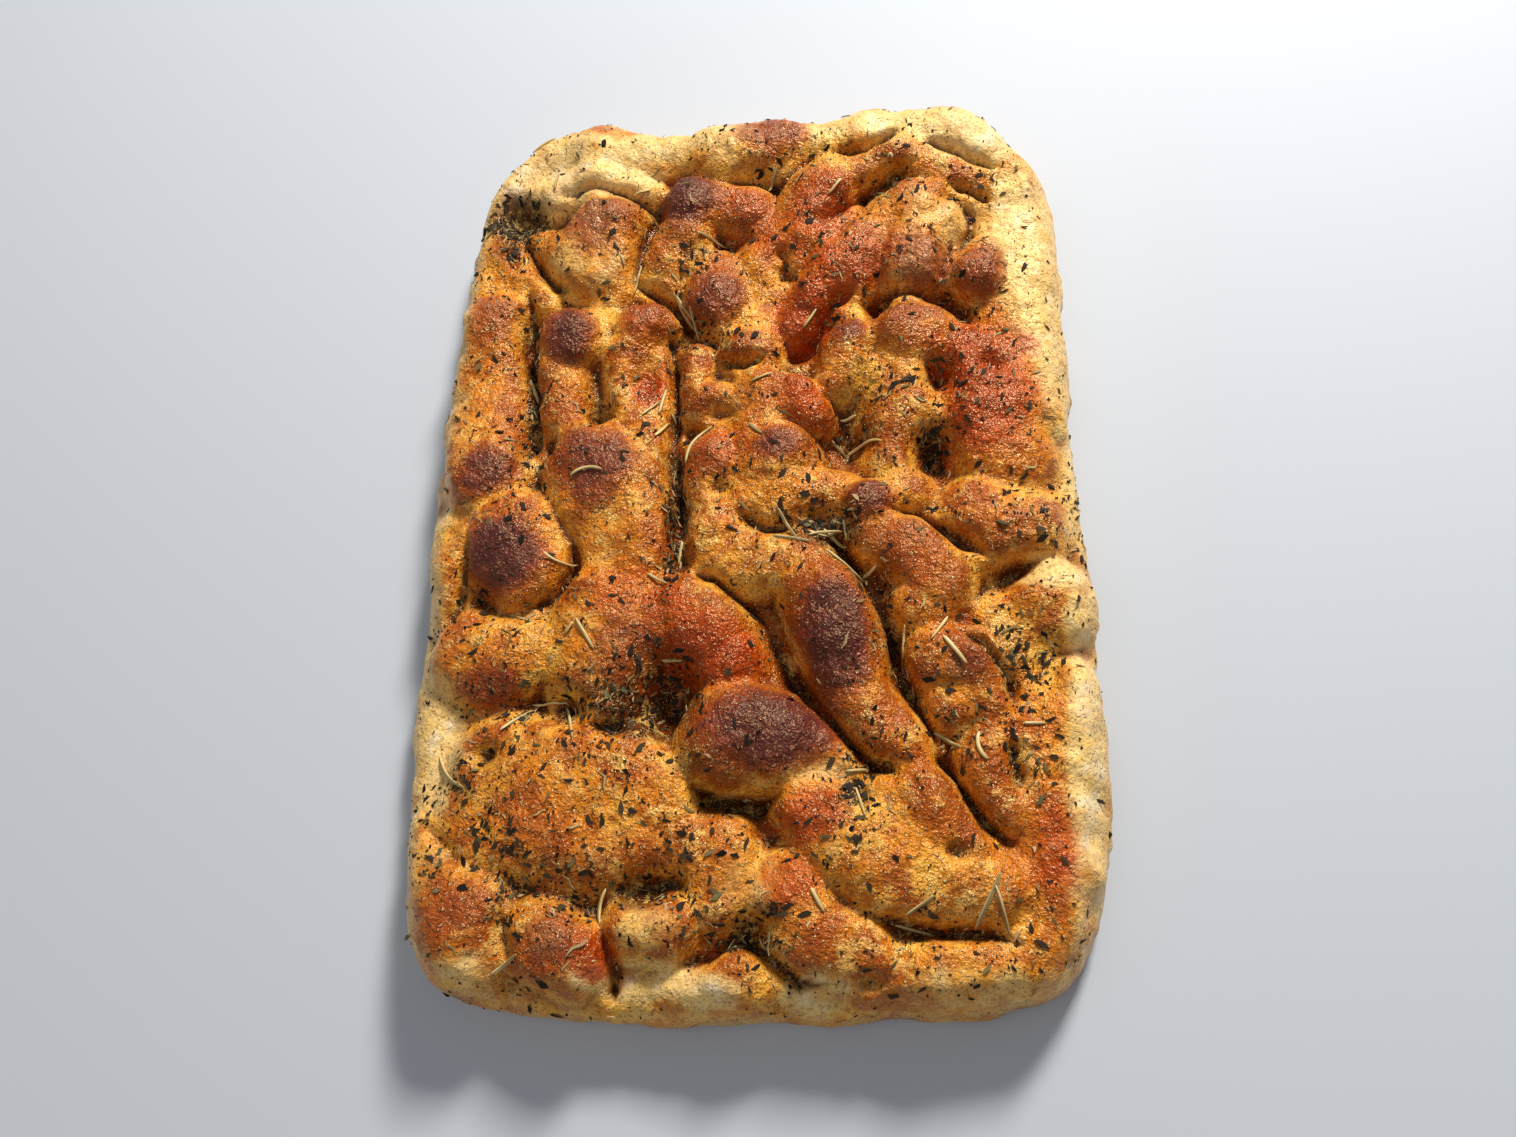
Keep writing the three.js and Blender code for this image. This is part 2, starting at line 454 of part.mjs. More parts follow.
// Heights of what lies under a needle, as [distance from its middle, height] pairs.
function heightsUnder(start, end, bow, pieces) {
  const run = new THREE.Vector2().subVectors(end, start);
  const length = run.length();
  const side = new THREE.Vector2(run.y, -run.x).divideScalar(length);
  const down = new THREE.Vector3(0, 0, -1);
  const heights = [];
  const steps = Math.ceil(length / NEEDLE_SAMPLE);
  for (let step = 0; step <= steps; step += 1) {
    const along = step / steps;
    const sideways = bow * (1 - (2 * along - 1) ** 2);
    for (const lane of [-1.3, -0.65, 0, 0.65, 1.3]) {
      const place = new THREE.Vector2().copy(start).addScaledVector(run, along);
      place.addScaledVector(side, sideways + lane * NEEDLE_RADIUS);
      const caster = new THREE.Raycaster(new THREE.Vector3(place.x, place.y, 100), down);
      const hit = caster.intersectObjects(pieces, false)[0];
      if (hit) heights.push([(along - 0.5) * length, hit.point.z]);
    }
  }
  return heights;
}

// The lowest straight line that clears those heights: its rise over run, and its height at the middle.
function restingLine(heights) {
  let best = { tilt: 0, middle: Infinity };
  for (let tilt = -STEEPEST_NEEDLE; tilt <= STEEPEST_NEEDLE; tilt += 0.02) {
    const middle = Math.max(...heights.map(([along, height]) => height - tilt * along));
    if (middle < best.middle) best = { tilt, middle };
  }
  return best;
}

function needle(index, [x1, y1, x2, y2, bow], pieces) {
  const start = new THREE.Vector2(x1, y1);
  const end = new THREE.Vector2(x2, y2);
  const { tilt, middle } = restingLine(heightsUnder(start, end, bow, pieces));
  const run = start.distanceTo(end);
  const steepening = Math.hypot(1, tilt);
  const mesh = new THREE.Mesh(needleGeometry(run * steepening, bow), rosemary);
  mesh.name = `rosemary_needle_${String(index + 1).padStart(2, '0')}`;
  const along = new THREE.Vector3((x2 - x1) / run, (y2 - y1) / run, tilt).normalize();
  const side = new THREE.Vector3(y2 - y1, x1 - x2, 0).normalize();
  const up = new THREE.Vector3().crossVectors(side, along);
  mesh.quaternion.setFromRotationMatrix(new THREE.Matrix4().makeBasis(side, along, up));
  mesh.position.set((x1 + x2) / 2, (y1 + y2) / 2, middle + (NEEDLE_RADIUS + NEEDLE_GAP) * steepening);
  mesh.updateMatrixWorld();
  return mesh;
}

// ---------- Assembly ----------
function buildFocaccia() {
  const waist = new Waist(OUTLINE);
  const loaf = new THREE.Mesh(loafGeometry(waist), crust);
  loaf.name = 'focaccia_loaf';
  loaf.updateMatrixWorld();
  const pieces = [loaf];
  NEEDLES.forEach((entry, index) => pieces.push(needle(index, entry, pieces)));

  const assembly = new THREE.Group();
  assembly.add(...pieces);
  const middle = new THREE.Box3().setFromObject(assembly).getCenter(new THREE.Vector3());
  assembly.position.set(-middle.x, -middle.y, 0);
  const focaccia = new THREE.Group();
  focaccia.add(assembly);
  return focaccia;
}

export default buildFocaccia();
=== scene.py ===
"""A rectangular, hand-dimpled focaccia loaf with rosemary and dried herbs, lying on a pale floor."""

import logging
import math
from dataclasses import dataclass, field
from enum import Enum
from typing import Any, NamedTuple, Sequence

import bpy
import numpy as np
from mathutils import Matrix, Vector
from mathutils.bvhtree import BVHTree


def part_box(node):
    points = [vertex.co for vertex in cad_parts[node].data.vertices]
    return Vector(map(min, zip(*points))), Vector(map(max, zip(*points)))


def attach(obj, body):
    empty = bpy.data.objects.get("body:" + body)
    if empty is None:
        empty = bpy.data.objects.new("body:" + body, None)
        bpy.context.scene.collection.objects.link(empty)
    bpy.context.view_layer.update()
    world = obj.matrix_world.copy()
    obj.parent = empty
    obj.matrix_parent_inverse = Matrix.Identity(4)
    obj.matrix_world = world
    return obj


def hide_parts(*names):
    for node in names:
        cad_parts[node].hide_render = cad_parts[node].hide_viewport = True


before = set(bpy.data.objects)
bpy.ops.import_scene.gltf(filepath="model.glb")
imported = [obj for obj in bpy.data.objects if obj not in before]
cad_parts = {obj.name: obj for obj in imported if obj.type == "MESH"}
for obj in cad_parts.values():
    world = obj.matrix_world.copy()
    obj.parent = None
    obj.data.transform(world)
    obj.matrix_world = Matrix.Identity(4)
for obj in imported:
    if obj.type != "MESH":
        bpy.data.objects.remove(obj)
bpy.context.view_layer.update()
log = logging.getLogger("focaccia")

MM = 0.001
TINY = 0.01
Array = np.ndarray
Triple = tuple[float, float, float]


class Patch(NamedTuple):
    """A soft oval on the crust: middle and radii in millimetres, and how strong it is at the middle."""

    x: float
    y: float
    rx: float
    ry: float
    strength: float


class Needle(NamedTuple):
    """A rosemary needle: its two ends on the crust and its sideways bow, in millimetres."""

    x1: float
    y1: float
    x2: float
    y2: float
    bow: float = 0.0


# The widest line of the side wall, as (x, y) in millimetres, smoothed into a closed curve.
OUTLINE = [
    (-115, 128), (-108, 148), (-97, 164), (-82, 171), (-62, 174), (-44, 168), (-26, 170), (-8, 174),
    (12, 172), (28, 168), (46, 174), (66, 173), (84, 170), (98, 160), (108, 147), (114, 128), (116, 104),
    (117, 70), (116, 30), (117, -10), (119, -50), (118, -90), (115, -125), (109, -148), (98, -164),
    (80, -172), (50, -176), (15, -177), (-20, -178), (-60, -178), (-88, -174), (-102, -165), (-110, -148),
    (-113, -125), (-117, -95), (-117, -60), (-119, -25), (-121, 10), (-120, 40), (-120, 75), (-118, 104),
]

# Bubbles raised by the bake: knots of (x, y, radius, crest height) along each one.
BUBBLES: dict[str, list[tuple[float, float, float, float]]] = {
    "rim_upper_left": [
        (-106, 93, 12, 27), (-105, 110, 11, 26), (-103, 129, 12, 27), (-98, 145, 12, 28),
        (-91, 153, 10, 28),
    ],
    "rim_top_left": [(-80, 153, 11, 29), (-65, 153, 13, 33), (-51, 153, 10, 30)],
    "pillow": [(-79, 135, 9, 29), (-65, 138, 11, 33), (-52, 135, 9, 31), (-42, 132, 6, 27)],
    "rim_top_mid_left": [(-45, 151, 12, 31), (-32, 149, 10, 31)],
    "top_blister": [(-14, 147, 14, 35), (2, 150, 13, 35), (21, 152, 9, 31)],
    "thin_ridge": [(-3, 139, 6, 27), (10, 142, 7, 29), (23, 148, 8, 31)],
    "rim_top_mid_right": [(35, 151, 12, 32), (46, 152, 14, 34), (56, 152, 12, 32)],
    "rim_top_right": [
        (65, 151, 12, 33), (75, 149, 14, 35), (85, 142, 13.5, 34), (94, 133, 12, 31), (100, 124, 10, 29),
    ],
    "long_ridge": [
        (25, 129, 10, 33), (32, 134, 10, 32), (39, 135, 9, 32), (47, 137, 9, 32), (56, 142, 9, 34),
        (67, 138, 10, 34), (76, 132, 9.5, 33), (84, 126, 9, 31), (92, 121, 8, 29),
    ],
    "upper_spine": [(26, 124, 13, 34), (23, 110, 14, 33), (14, 102, 12, 30), (7, 94, 8, 26)],
    "burnt_crown": [(-25, 123, 11, 37), (-14, 122, 10, 32), (-3, 120, 11, 31), (3, 114, 9, 28)],
    "upper_left_dome": [(-59, 114, 14, 36), (-64, 101, 18, 35), (-60, 92, 13, 30)],
    "upper_left_flank": [(-83, 108, 10, 27), (-79, 96, 8, 26)],
    "brown_pair": [(-28, 110, 11, 33), (-32, 99, 11, 31), (-35, 90, 10, 28)],
    "centre_knuckle": [(-16, 94, 9, 29), (-14, 78, 11, 32), (-11, 70, 7, 27)],
    "herb_saddle": [(1, 96, 9, 27), (5, 83, 8, 26)],
    "golden_bead": [(1, 69, 8, 27), (-1, 54, 11, 32)],
    "red_ridge": [(42, 101, 11, 33), (34, 90, 13, 34), (26, 79, 12, 32), (19, 70, 9, 28)],
    "upper_right_dome": [(53, 112, 11, 33), (62, 115, 13, 36), (70, 111, 10, 34)],
    "dome_knob": [(71, 122, 5, 33)],
    "upper_right_lower": [(62, 101, 12, 35), (62, 89, 13, 34), (59, 80, 9, 30)],
    "brown_bead": [(86, 93, 8, 31), (83, 84, 10, 35)],
    "rim_right_upper": [
        (98, 114, 13, 27), (100, 91, 14, 28), (100, 71, 14, 28), (100, 50, 13, 28), (101, 31, 12, 28),
    ],
    "sun_dome": [(55, 60, 12, 35), (64, 60, 12, 33), (73, 57, 8, 29)],
    "burnt_bead": [(39, 68, 6, 28), (36, 56, 9, 33), (33, 43, 9, 31)],
    "red_plateau": [(80, 49, 12, 31), (85, 29, 16, 32), (90, 10, 13, 30)],
    "golden_plateau": [(53, 44, 12, 30), (54, 28, 13, 30), (50, 15, 11, 29)],
    "centre_north": [(-15, 35, 8, 30), (-6, 26, 9, 28)],
    "centre_crest": [(5, 36, 12, 32), (16, 36, 9, 33), (22, 30, 8, 31)],
    "centre_west": [(-13, 10, 11, 32), (-16, 2, 9, 29)],
    "centre_south": [(3, 22, 10, 31), (9, 11, 13, 34), (10, 4, 12, 31)],
    "thin_strip": [(-21, 53, 7, 28), (-22, 41, 6, 28), (-24, 33, 5, 26)],
    "left_roll_upper": [(-102, 72, 14, 33), (-102, 58, 13, 30), (-102, 45, 12, 29)],
    "left_roll_lower": [(-101, 30, 12, 30), (-97, 9, 16, 34), (-96, -2, 12, 29)],
    "hole_ridge": [(-98, 105, 8, 28), (-90, 92, 7, 28), (-82, 81, 7, 28)],
    "burnt_knob": [(-69, 63, 11.5, 36)],
    "knob_shoulder": [(-62, 70, 8, 30), (-56, 73, 6, 28)],
    "left_bead": [(-44, 69, 9, 32), (-39, 70, 8, 31)],
    "left_leg": [(-74, 49, 10, 31), (-73, 35, 10, 30), (-69, 23, 9, 30)],
    "right_leg": [(-48, 58, 10, 30), (-45, 43, 9, 29), (-42, 30, 8, 29), (-37, 17, 9, 30)],
    "great_dome": [(-59, 13, 15, 35), (-51, 0, 19, 35), (-44, -16, 17, 33)],
    "red_strip": [(-33, 54, 6, 26), (-33, 35, 6, 27), (-30, 20, 5, 25)],
    "rim_left_mid": [(-109, -15, 10, 27), (-107, -28, 11, 30), (-107, -42, 9, 28)],
    "burnt_dome": [(-86, -20, 17, 37), (-76, -30, 14, 33)],
    "left_plateau": [(-43, -22, 16, 32), (-45, -34, 15, 31)],
    "left_low_lobe": [(-97, -58, 12, 29), (-86, -62, 14, 31), (-74, -58, 11, 30)],
    "broad_lobe": [(-52, -45, 14, 33), (-50, -60, 16, 33), (-52, -75, 14, 31)],
    "paprika_lobe": [(-22, -42, 11, 32), (-14, -52, 14, 34), (-8, -62, 11, 31)],
    "lobe_link": [(-36, -50, 12, 31)],
    "roll_root": [(-13, -18, 10, 31), (-6, -31, 12, 30)],
    "great_roll": [
        (5, -28, 12, 31), (17, -29, 10, 32), (27, -42, 12, 36), (31, -58, 12, 36), (37, -75, 11, 33),
        (46, -88, 11, 32), (53, -95, 9, 30),
    ],
    "mid_plateau": [(-11, -6, 11, 29), (1, -6, 13, 30), (18, -7, 12, 30), (30, -6, 10, 28)],
    "mid_bead": [(42, -8, 9, 33)],
    "right_mid_lobe": [(48, -20, 11, 31), (56, -24, 12, 33), (64, -36, 12, 33), (60, -44, 11, 30)],
    "right_link": [(54, -2, 10, 29), (50, -6, 9, 28)],
    "right_plateau": [(82, -16, 15, 32), (96, -17, 13, 31)],
    "orange_bead": [(64, -64, 11, 32), (74, -66, 11, 34), (76, -78, 9, 31), (66, -80, 9, 29)],
    "rim_right_knob": [(104, -45, 13, 30)],
    "rim_right_low": [(105, -78, 12, 28), (104, -95, 12, 28)],
    "right_ridge": [(82, -84, 8, 29), (78, -98, 9, 30), (82, -112, 8, 29)],
    "right_bank": [(90, -90, 8, 28), (93, -102, 10, 28), (98, -115, 11, 28)],
    "herb_bank": [(84, -50, 8, 26), (92, -62, 9, 26), (94, -76, 9, 26)],
    "low_right_lobe": [(45, -112, 9, 30), (57, -112, 12, 33), (66, -122, 11, 31)],
    "low_right_roll": [
        (22, -112, 11, 32), (30, -122, 13, 33), (45, -130, 15, 33), (60, -135, 13, 32), (76, -137, 11, 30),
    ],
    "great_bubble": [(-3, -90, 17, 37), (8, -92, 14, 36)],
    "bubble_flank": [(22, -94, 12, 30), (31, -102, 7, 27)],
    "low_left_upper": [(-80, -100, 15, 29), (-60, -102, 17, 31), (-42, -103, 15, 31), (-28, -108, 12, 30)],
    "low_left_lower": [(-85, -118, 14, 28), (-65, -120, 15, 30), (-45, -122, 15, 30), (-25, -122, 12, 29)],
    "corner_bubble": [(-98, -143, 14, 30), (-90, -150, 15, 32), (-85, -155, 12, 30)],
    "corner_rim": [(-103, -130, 12, 27)],
    "red_bubble": [(-63, -153, 11, 31), (-54, -157, 11, 31)],
    "low_mid_lobe": [(-34, -150, 9, 30), (-24, -150, 10, 31)],
    "low_centre": [(-8, -128, 11, 29), (-8, -140, 9, 28)],
    "low_red_lobe": [(15, -140, 13, 31), (22, -152, 12, 31), (36, -155, 10, 30)],
    "bottom_flap": [(-14, -167, 9, 22), (-2, -163, 9, 26), (8, -168, 9, 24)],
    "rim_bottom_right": [(42, -162, 10, 27), (58, -162, 11, 28), (74, -161, 10, 27), (88, -157, 9, 26)],
    "rim_corner_right": [(97, -132, 13, 27), (96, -146, 11, 26)],
}

# Creases between bubbles: depth, half width, and the line they follow as (x, y).
FOLDS: dict[str, tuple[float, float, list[tuple[float, float]]]] = {
    "left_long": (9, 2.2, [(-89, 90), (-87, 76), (-88, 61), (-84, 50), (-81, 38), (-81, 21), (-85, 6)]),
    "central_long": (9, 2.2, [
        (-34, 74), (-31, 60), (-29, 48), (-28, 36), (-29, 20), (-28, 6), (-25, -9), (-25, -21), (-23, -33),
    ]),
    "dome_edge": (5, 2, [(-95, 114), (-90, 106), (-85, 97), (-78, 89), (-71, 85)]),
    "dome_right": (5, 2, [(-40, 121), (-44, 110), (-46, 98), (-48, 87)]),
    "under_pillow": (4, 2, [(-81, 131), (-72, 131), (-64, 133), (-50, 129), (-41, 124)]),
    "ridge_under": (9, 2.4, [(24, 108), (32, 115), (39, 122), (47, 129), (55, 133), (62, 134)]),
    "rim_right_fold": (6, 1.6, [(66, 144), (75, 140), (85, 134), (96, 130)]),
    "rim_right_fold_low": (5, 2, [(75, 124), (84, 121), (92, 116)]),
    "bead_gap": (6, 2, [(75, 101), (73, 90), (69, 79)]),
    "top_fold": (6, 1.6, [(30, 144), (37, 143), (43, 143), (50, 146), (57, 151)]),
    "sun_upper": (8, 2.2, [(44, 64), (45, 74), (51, 78), (61, 78), (70, 76), (77, 69)]),
    "red_valley": (5, 3, [(8, 100), (12, 95), (10, 86)]),
    "under_red": (8, 2.6, [(12, 54), (22, 60), (30, 74), (40, 80)]),
    "bead_under": (7, 2.2, [(-13, 52), (-3, 49), (6, 52)]),
    "knuckle_under": (7, 2.2, [(-48, 90), (-36, 82), (-27, 72), (-16, 67)]),
    "roll_right": (9, 2.2, [
        (26, -17), (32, -22), (37, -32), (44, -46), (49, -60), (54, -75), (60, -88), (63, -98),
    ]),
    "roll_left": (8, 2.2, [(6, -50), (14, -68), (23, -80), (33, -91), (41, -99), (50, -104)]),
    "roll_upper": (6, 2.2, [(-4, -11), (6, -17), (16, -15)]),
    "paprika_edge": (8, 2.2, [(-20, -33), (-11, -36), (-4, -42), (6, -50)]),
    "dome_under": (7, 1.9, [(-62, -20), (-61, -31), (-67, -40), (-78, -46)]),
    "mid_lobe_upper": (8, 2.2, [(46, -11), (59, -13), (70, -21), (82, -30)]),
    "bead_upper": (8, 2.2, [(68, -54), (78, -60), (85, -70), (88, -82)]),
    "ridge_left": (8, 2.2, [(60, -95), (68, -105), (76, -118), (84, -123)]),
    "ridge_right": (5, 1.9, [(85, -92), (87, -108)]),
    "bubble_under": (8, 2.2, [(-17, -106), (-8, -111), (4, -113), (13, -109)]),
    "low_roll_under": (7, 1.9, [(40, -145), (50, -148.6), (61, -151), (76, -151), (86, -154)]),
    "flap_edge": (7, 1.9, [(-20, -161), (-10, -158), (-1, -154), (8, -157), (18, -165), (28, -166)]),
    "low_left_fold": (4, 1.9, [(-51, -86), (-39, -88)]),
    "bubble_gap": (5, 1.9, [(-44, -149), (-40, -163), (-39, -172)]),
    "corner_gap": (4, 1.9, [(-76, -146), (-71, -161)]),
    "rim_left_fold": (5, 1.9, [(-100, -10), (-100, -30), (-102, -44), (-108, -52)]),
    "low_rim_fold": (3, 1.9, [(-106, -118), (-98, -124), (-90, -132)]),
}

# Finger dimples and blown holes: (x, y, radius along X, radius along Y, depth).
DIMPLES: dict[str, tuple[float, float, float, float, float]] = {
    "corner_hole": (-97, 125, 7, 8, 11),
    "knot_hole": (-57, 31, 5, 6, 9),
    "narrow_hole": (-74, 18, 3.5, 6, 9),
    "red_hollow": (-41, 46, 6, 9, 5),
    "rosemary_pit": (36, 17, 9, 8, 9),
    "valley": (36, 32, 9, 10, 4),
    "twin_hole_left": (68, 42, 5, 5, 7),
    "twin_hole_right": (87, 44, 5, 4, 6),
    "deep_hole": (64, 13, 7, 9, 10),
    "herb_dent": (-12, 29, 6, 4, 5),
    "small_dent": (-11, -2, 5, 4, 4),
    "pine_pit": (24, -13, 8, 5, 5),
    "black_pit": (-25, -78, 8, 11, 10),
    "rosemary_hole": (-59, -80, 6, 6, 10),
    "side_dent": (-70, -78, 8, 4, 3),
    "pin_hole": (-86, -96, 4, 4, 7),
    "black_dent": (-30, -139, 9, 5, 7),
    "brown_hole": (4, -149, 6, 4, 7),
    "pale_cleft": (91, -33, 8, 4, 5),
    "edge_pit": (39, -165, 5, 3, 4),
    "freckle_pit": (66, -127, 4, 3, 4),
    "side_cup": (97, -70, 7, 10, 4),
}

# Tops that caught the oven's heat.
BURNT = [
    Patch(-25, 123, 10, 10, 1), Patch(-69, 63, 8, 10, 1), Patch(-54, 7, 12, 12, 0.8),
    Patch(-62, 109, 10, 11, 0.5), Patch(-58, 116, 8, 6, 0.4), Patch(-14, 79, 10, 10, 0.7),
    Patch(85, 84, 7, 8, 0.6), Patch(63, 88, 9, 10, 0.55), Patch(36, 60, 5, 5, 0.75),
    Patch(-95, 6, 9, 8, 0.85), Patch(-100, 73, 7, 8, 0.45), Patch(-40, 73, 6, 6, 0.55),
    Patch(10, 14, 7, 6, 0.8), Patch(42, -8, 6, 6, 0.8), Patch(-84, -27, 11, 11, 1),
    Patch(6, 151, 12, 7, 0.65), Patch(26, 119, 8, 9, 0.4), Patch(41, 95, 10, 11, 0.4),
    Patch(58, 65, 8, 5, 0.55), Patch(-13, 10, 7, 8, 0.4), Patch(-4, 34, 7, 6, 0.35),
    Patch(-1, 116, 9, 7, 0.4), Patch(-28, 110, 6, 7, 0.55), Patch(29, -54, 9, 14, 1),
    Patch(32, -68, 8, 10, 0.8), Patch(7, -88, 17, 11, 1), Patch(-85, -73, 8, 6, 0.6),
    Patch(-42, -62, 10, 9, 0.5), Patch(73, -68, 6, 6, 0.65), Patch(-91, -145, 10, 8, 0.5),
    Patch(-57, -155, 8, 7, 0.6), Patch(26, -116, 7, 5, 0.4), Patch(56, -25, 10, 7, 0.4),
    Patch(-72, -111, 11, 8, 0.3), Patch(-35, -48, 10, 9, 0.35),
]

# Where paprika oil soaked in.
PAPRIKA = [
    Patch(34, 89, 16, 12, 0.8), Patch(20, 70, 12, 12, 0.95), Patch(84, 46, 15, 15, 1),
    Patch(89, 29, 13, 14, 0.9), Patch(79, 20, 10, 10, 0.6), Patch(-39, 41, 5, 7, 1),
    Patch(-12, 14, 9, 9, 0.5), Patch(19, 32, 9, 9, 0.7), Patch(-7, 120, 12, 8, 0.7),
    Patch(29, 118, 10, 12, 0.8), Patch(7, 105, 12, 10, 0.6), Patch(54, 101, 11, 10, 0.4),
    Patch(-11, -62, 14, 10, 1), Patch(-25, -53, 10, 10, 0.6), Patch(-40, -40, 12, 10, 0.6),
    Patch(22, -117, 8, 7, 0.8), Patch(16, -135, 8, 8, 0.7), Patch(-45, -157, 6, 7, 0.95),
    Patch(94, -123, 8, 10, 0.7), Patch(97, -134, 6, 6, 0.6), Patch(29, -38, 9, 7, 0.4),
    Patch(69, -51, 9, 6, 0.4), Patch(-72, -111, 13, 9, 0.3), Patch(58, -33, 9, 7, 0.45),
    Patch(-85, -73, 9, 7, 0.6), Patch(-56, -123, 13, 9, 0.3), Patch(-81, -30, 15, 13, 0.3),
    Patch(-3, 15, 7, 8, 0.4), Patch(-42, 70, 7, 9, 0.5), Patch(62, 3, 9, 8, 0.3),
]

# Dough that stayed pale.
PALE = [
    Patch(-74, 98, 8, 9, 0.28), Patch(-54, 92, 8, 6, 0.32), Patch(60, 108, 16, 14, 0.4),
    Patch(60, 84, 13, 9, 0.5), Patch(84, 106, 12, 10, 0.6), Patch(-61, 140, 23, 9, 0.75),
    Patch(-79, 133, 12, 11, 0.8), Patch(-52, 134, 12, 8, 0.7), Patch(-98, 131, 8, 16, 0.85),
    Patch(-39, 152, 25, 7, 0.8), Patch(-64, 102, 12, 15, 0.35), Patch(69, 153, 23, 7, 0.7),
    Patch(98, 116, 6, 15, 0.7), Patch(-122, 70, 6, 26, 0.35), Patch(-119, -20, 6, 18, 0.5),
    Patch(105, 89, 11, 37, 0.8), Patch(109, 56, 7, 33, 0.7), Patch(88, 144, 18, 10, 0.95),
    Patch(46, 156, 19, 7, 0.8), Patch(-85, 154, 19, 11, 0.75), Patch(-99, 141, 9, 18, 0.6),
    Patch(-13, 149, 8, 10, 0.7), Patch(26, 152, 6, 7, 0.5), Patch(112, -49, 6, 17, 0.85),
    Patch(111, -82, 6, 25, 1), Patch(109, -110, 7, 20, 1), Patch(103, -35, 10, 6, 0.85),
    Patch(-107, -80, 7, 15, 0.6), Patch(-103, -96, 8, 17, 0.85), Patch(-31, -165, 19, 5, 0.9),
    Patch(-9, -169, 9, 4, 0.95), Patch(-86, -163, 9, 5, 0.7), Patch(23, -169, 9, 6, 0.95),
    Patch(22, -100, 9, 7, 0.5), Patch(3, -135, 9, 8, 0.5), Patch(-28, -149, 8, 6, 0.65),
    Patch(-104, -131, 7, 9, 0.5), Patch(72, -166, 17, 6, 0.6), Patch(105, -139, 6, 13, 0.7),
]

# Where dried herbs gathered.
HERBY = [
    Patch(-71, -100, 28, 25, 1), Patch(-44, -125, 31, 22, 1), Patch(-24, -79, 13, 14, 1),
    Patch(-100, 123, 13, 20, 1), Patch(-83, 22, 8, 35, 0.8), Patch(-7, 64, 11, 14, 0.7),
    Patch(-27, 3, 6, 64, 0.6), Patch(23, -17, 19, 11, 1), Patch(40, -38, 8, 22, 0.6),
    Patch(66, 13, 9, 12, 1), Patch(43, 27, 9, 10, 0.7), Patch(-29, -140, 19, 8, 1),
    Patch(92, -78, 14, 22, 0.8), Patch(99, -23, 19, 17, 0.5), Patch(82, 38, 21, 19, 0.5),
    Patch(37, -109, 10, 12, 0.8), Patch(0, -146, 14, 9, 0.7), Patch(67, -154, 22, 9, 0.6),
    Patch(-61, -80, 10, 9, 1), Patch(45, -162, 30, 5, 0.7), Patch(-101, -84, 11, 35, 0.7),
    Patch(33, 87, 37, 47, 0.2), Patch(55, -92, 12, 19, 0.6),
]

# Dimples and folds packed with herbs.
CLUMPS = [
    Patch(-97, 123, 8, 9, 1), Patch(-98, 108, 5, 7, 0.3), Patch(-30, -74, 11, 12, 1),
    Patch(-35, -82, 8, 7, 1), Patch(-61, -81, 3, 3, 1), Patch(-32, -139, 7, 4, 0.9),
    Patch(-83, 42, 2, 20, 0.8), Patch(-27, -10, 2, 24, 0.7), Patch(27, -19, 9, 5, 0.8),
    Patch(40, 19, 5, 3, 0.5), Patch(65, 15, 4, 6, 0.7), Patch(36, -109, 4, 3, 0.6),
    Patch(67, -126, 3, 2, 0.5), Patch(0, -154, 8, 2, 0.6), Patch(11, -143, 5, 3, 0.35),
    Patch(-17, -100, 5, 3, 0.5), Patch(-4, -114, 8, 2, 0.35), Patch(-21, 99, 5, 3, 0.4),
    Patch(47, -39, 2, 9, 0.5), Patch(-44, -78, 7, 4, 0.4), Patch(-98, -131, 4, 7, 0.25),
    Patch(-75, -143, 3, 5, 0.4), Patch(83, -60, 7, 7, 0.25), Patch(33, -67, 3, 8, 0.35),
    Patch(-57, -136, 13, 8, 0.22), Patch(-91, -101, 6, 9, 0.25),
]

# Thin skins that puffed up and crumpled.
PAPERY = [
    Patch(-62, 117, 7, 5, 1), Patch(-8, 148, 9, 8, 0.9), Patch(-59, -153, 4, 4, 0.9),
    Patch(68, -70, 3, 2, 0.8), Patch(-44, -125, 4, 3, 0.3),
]

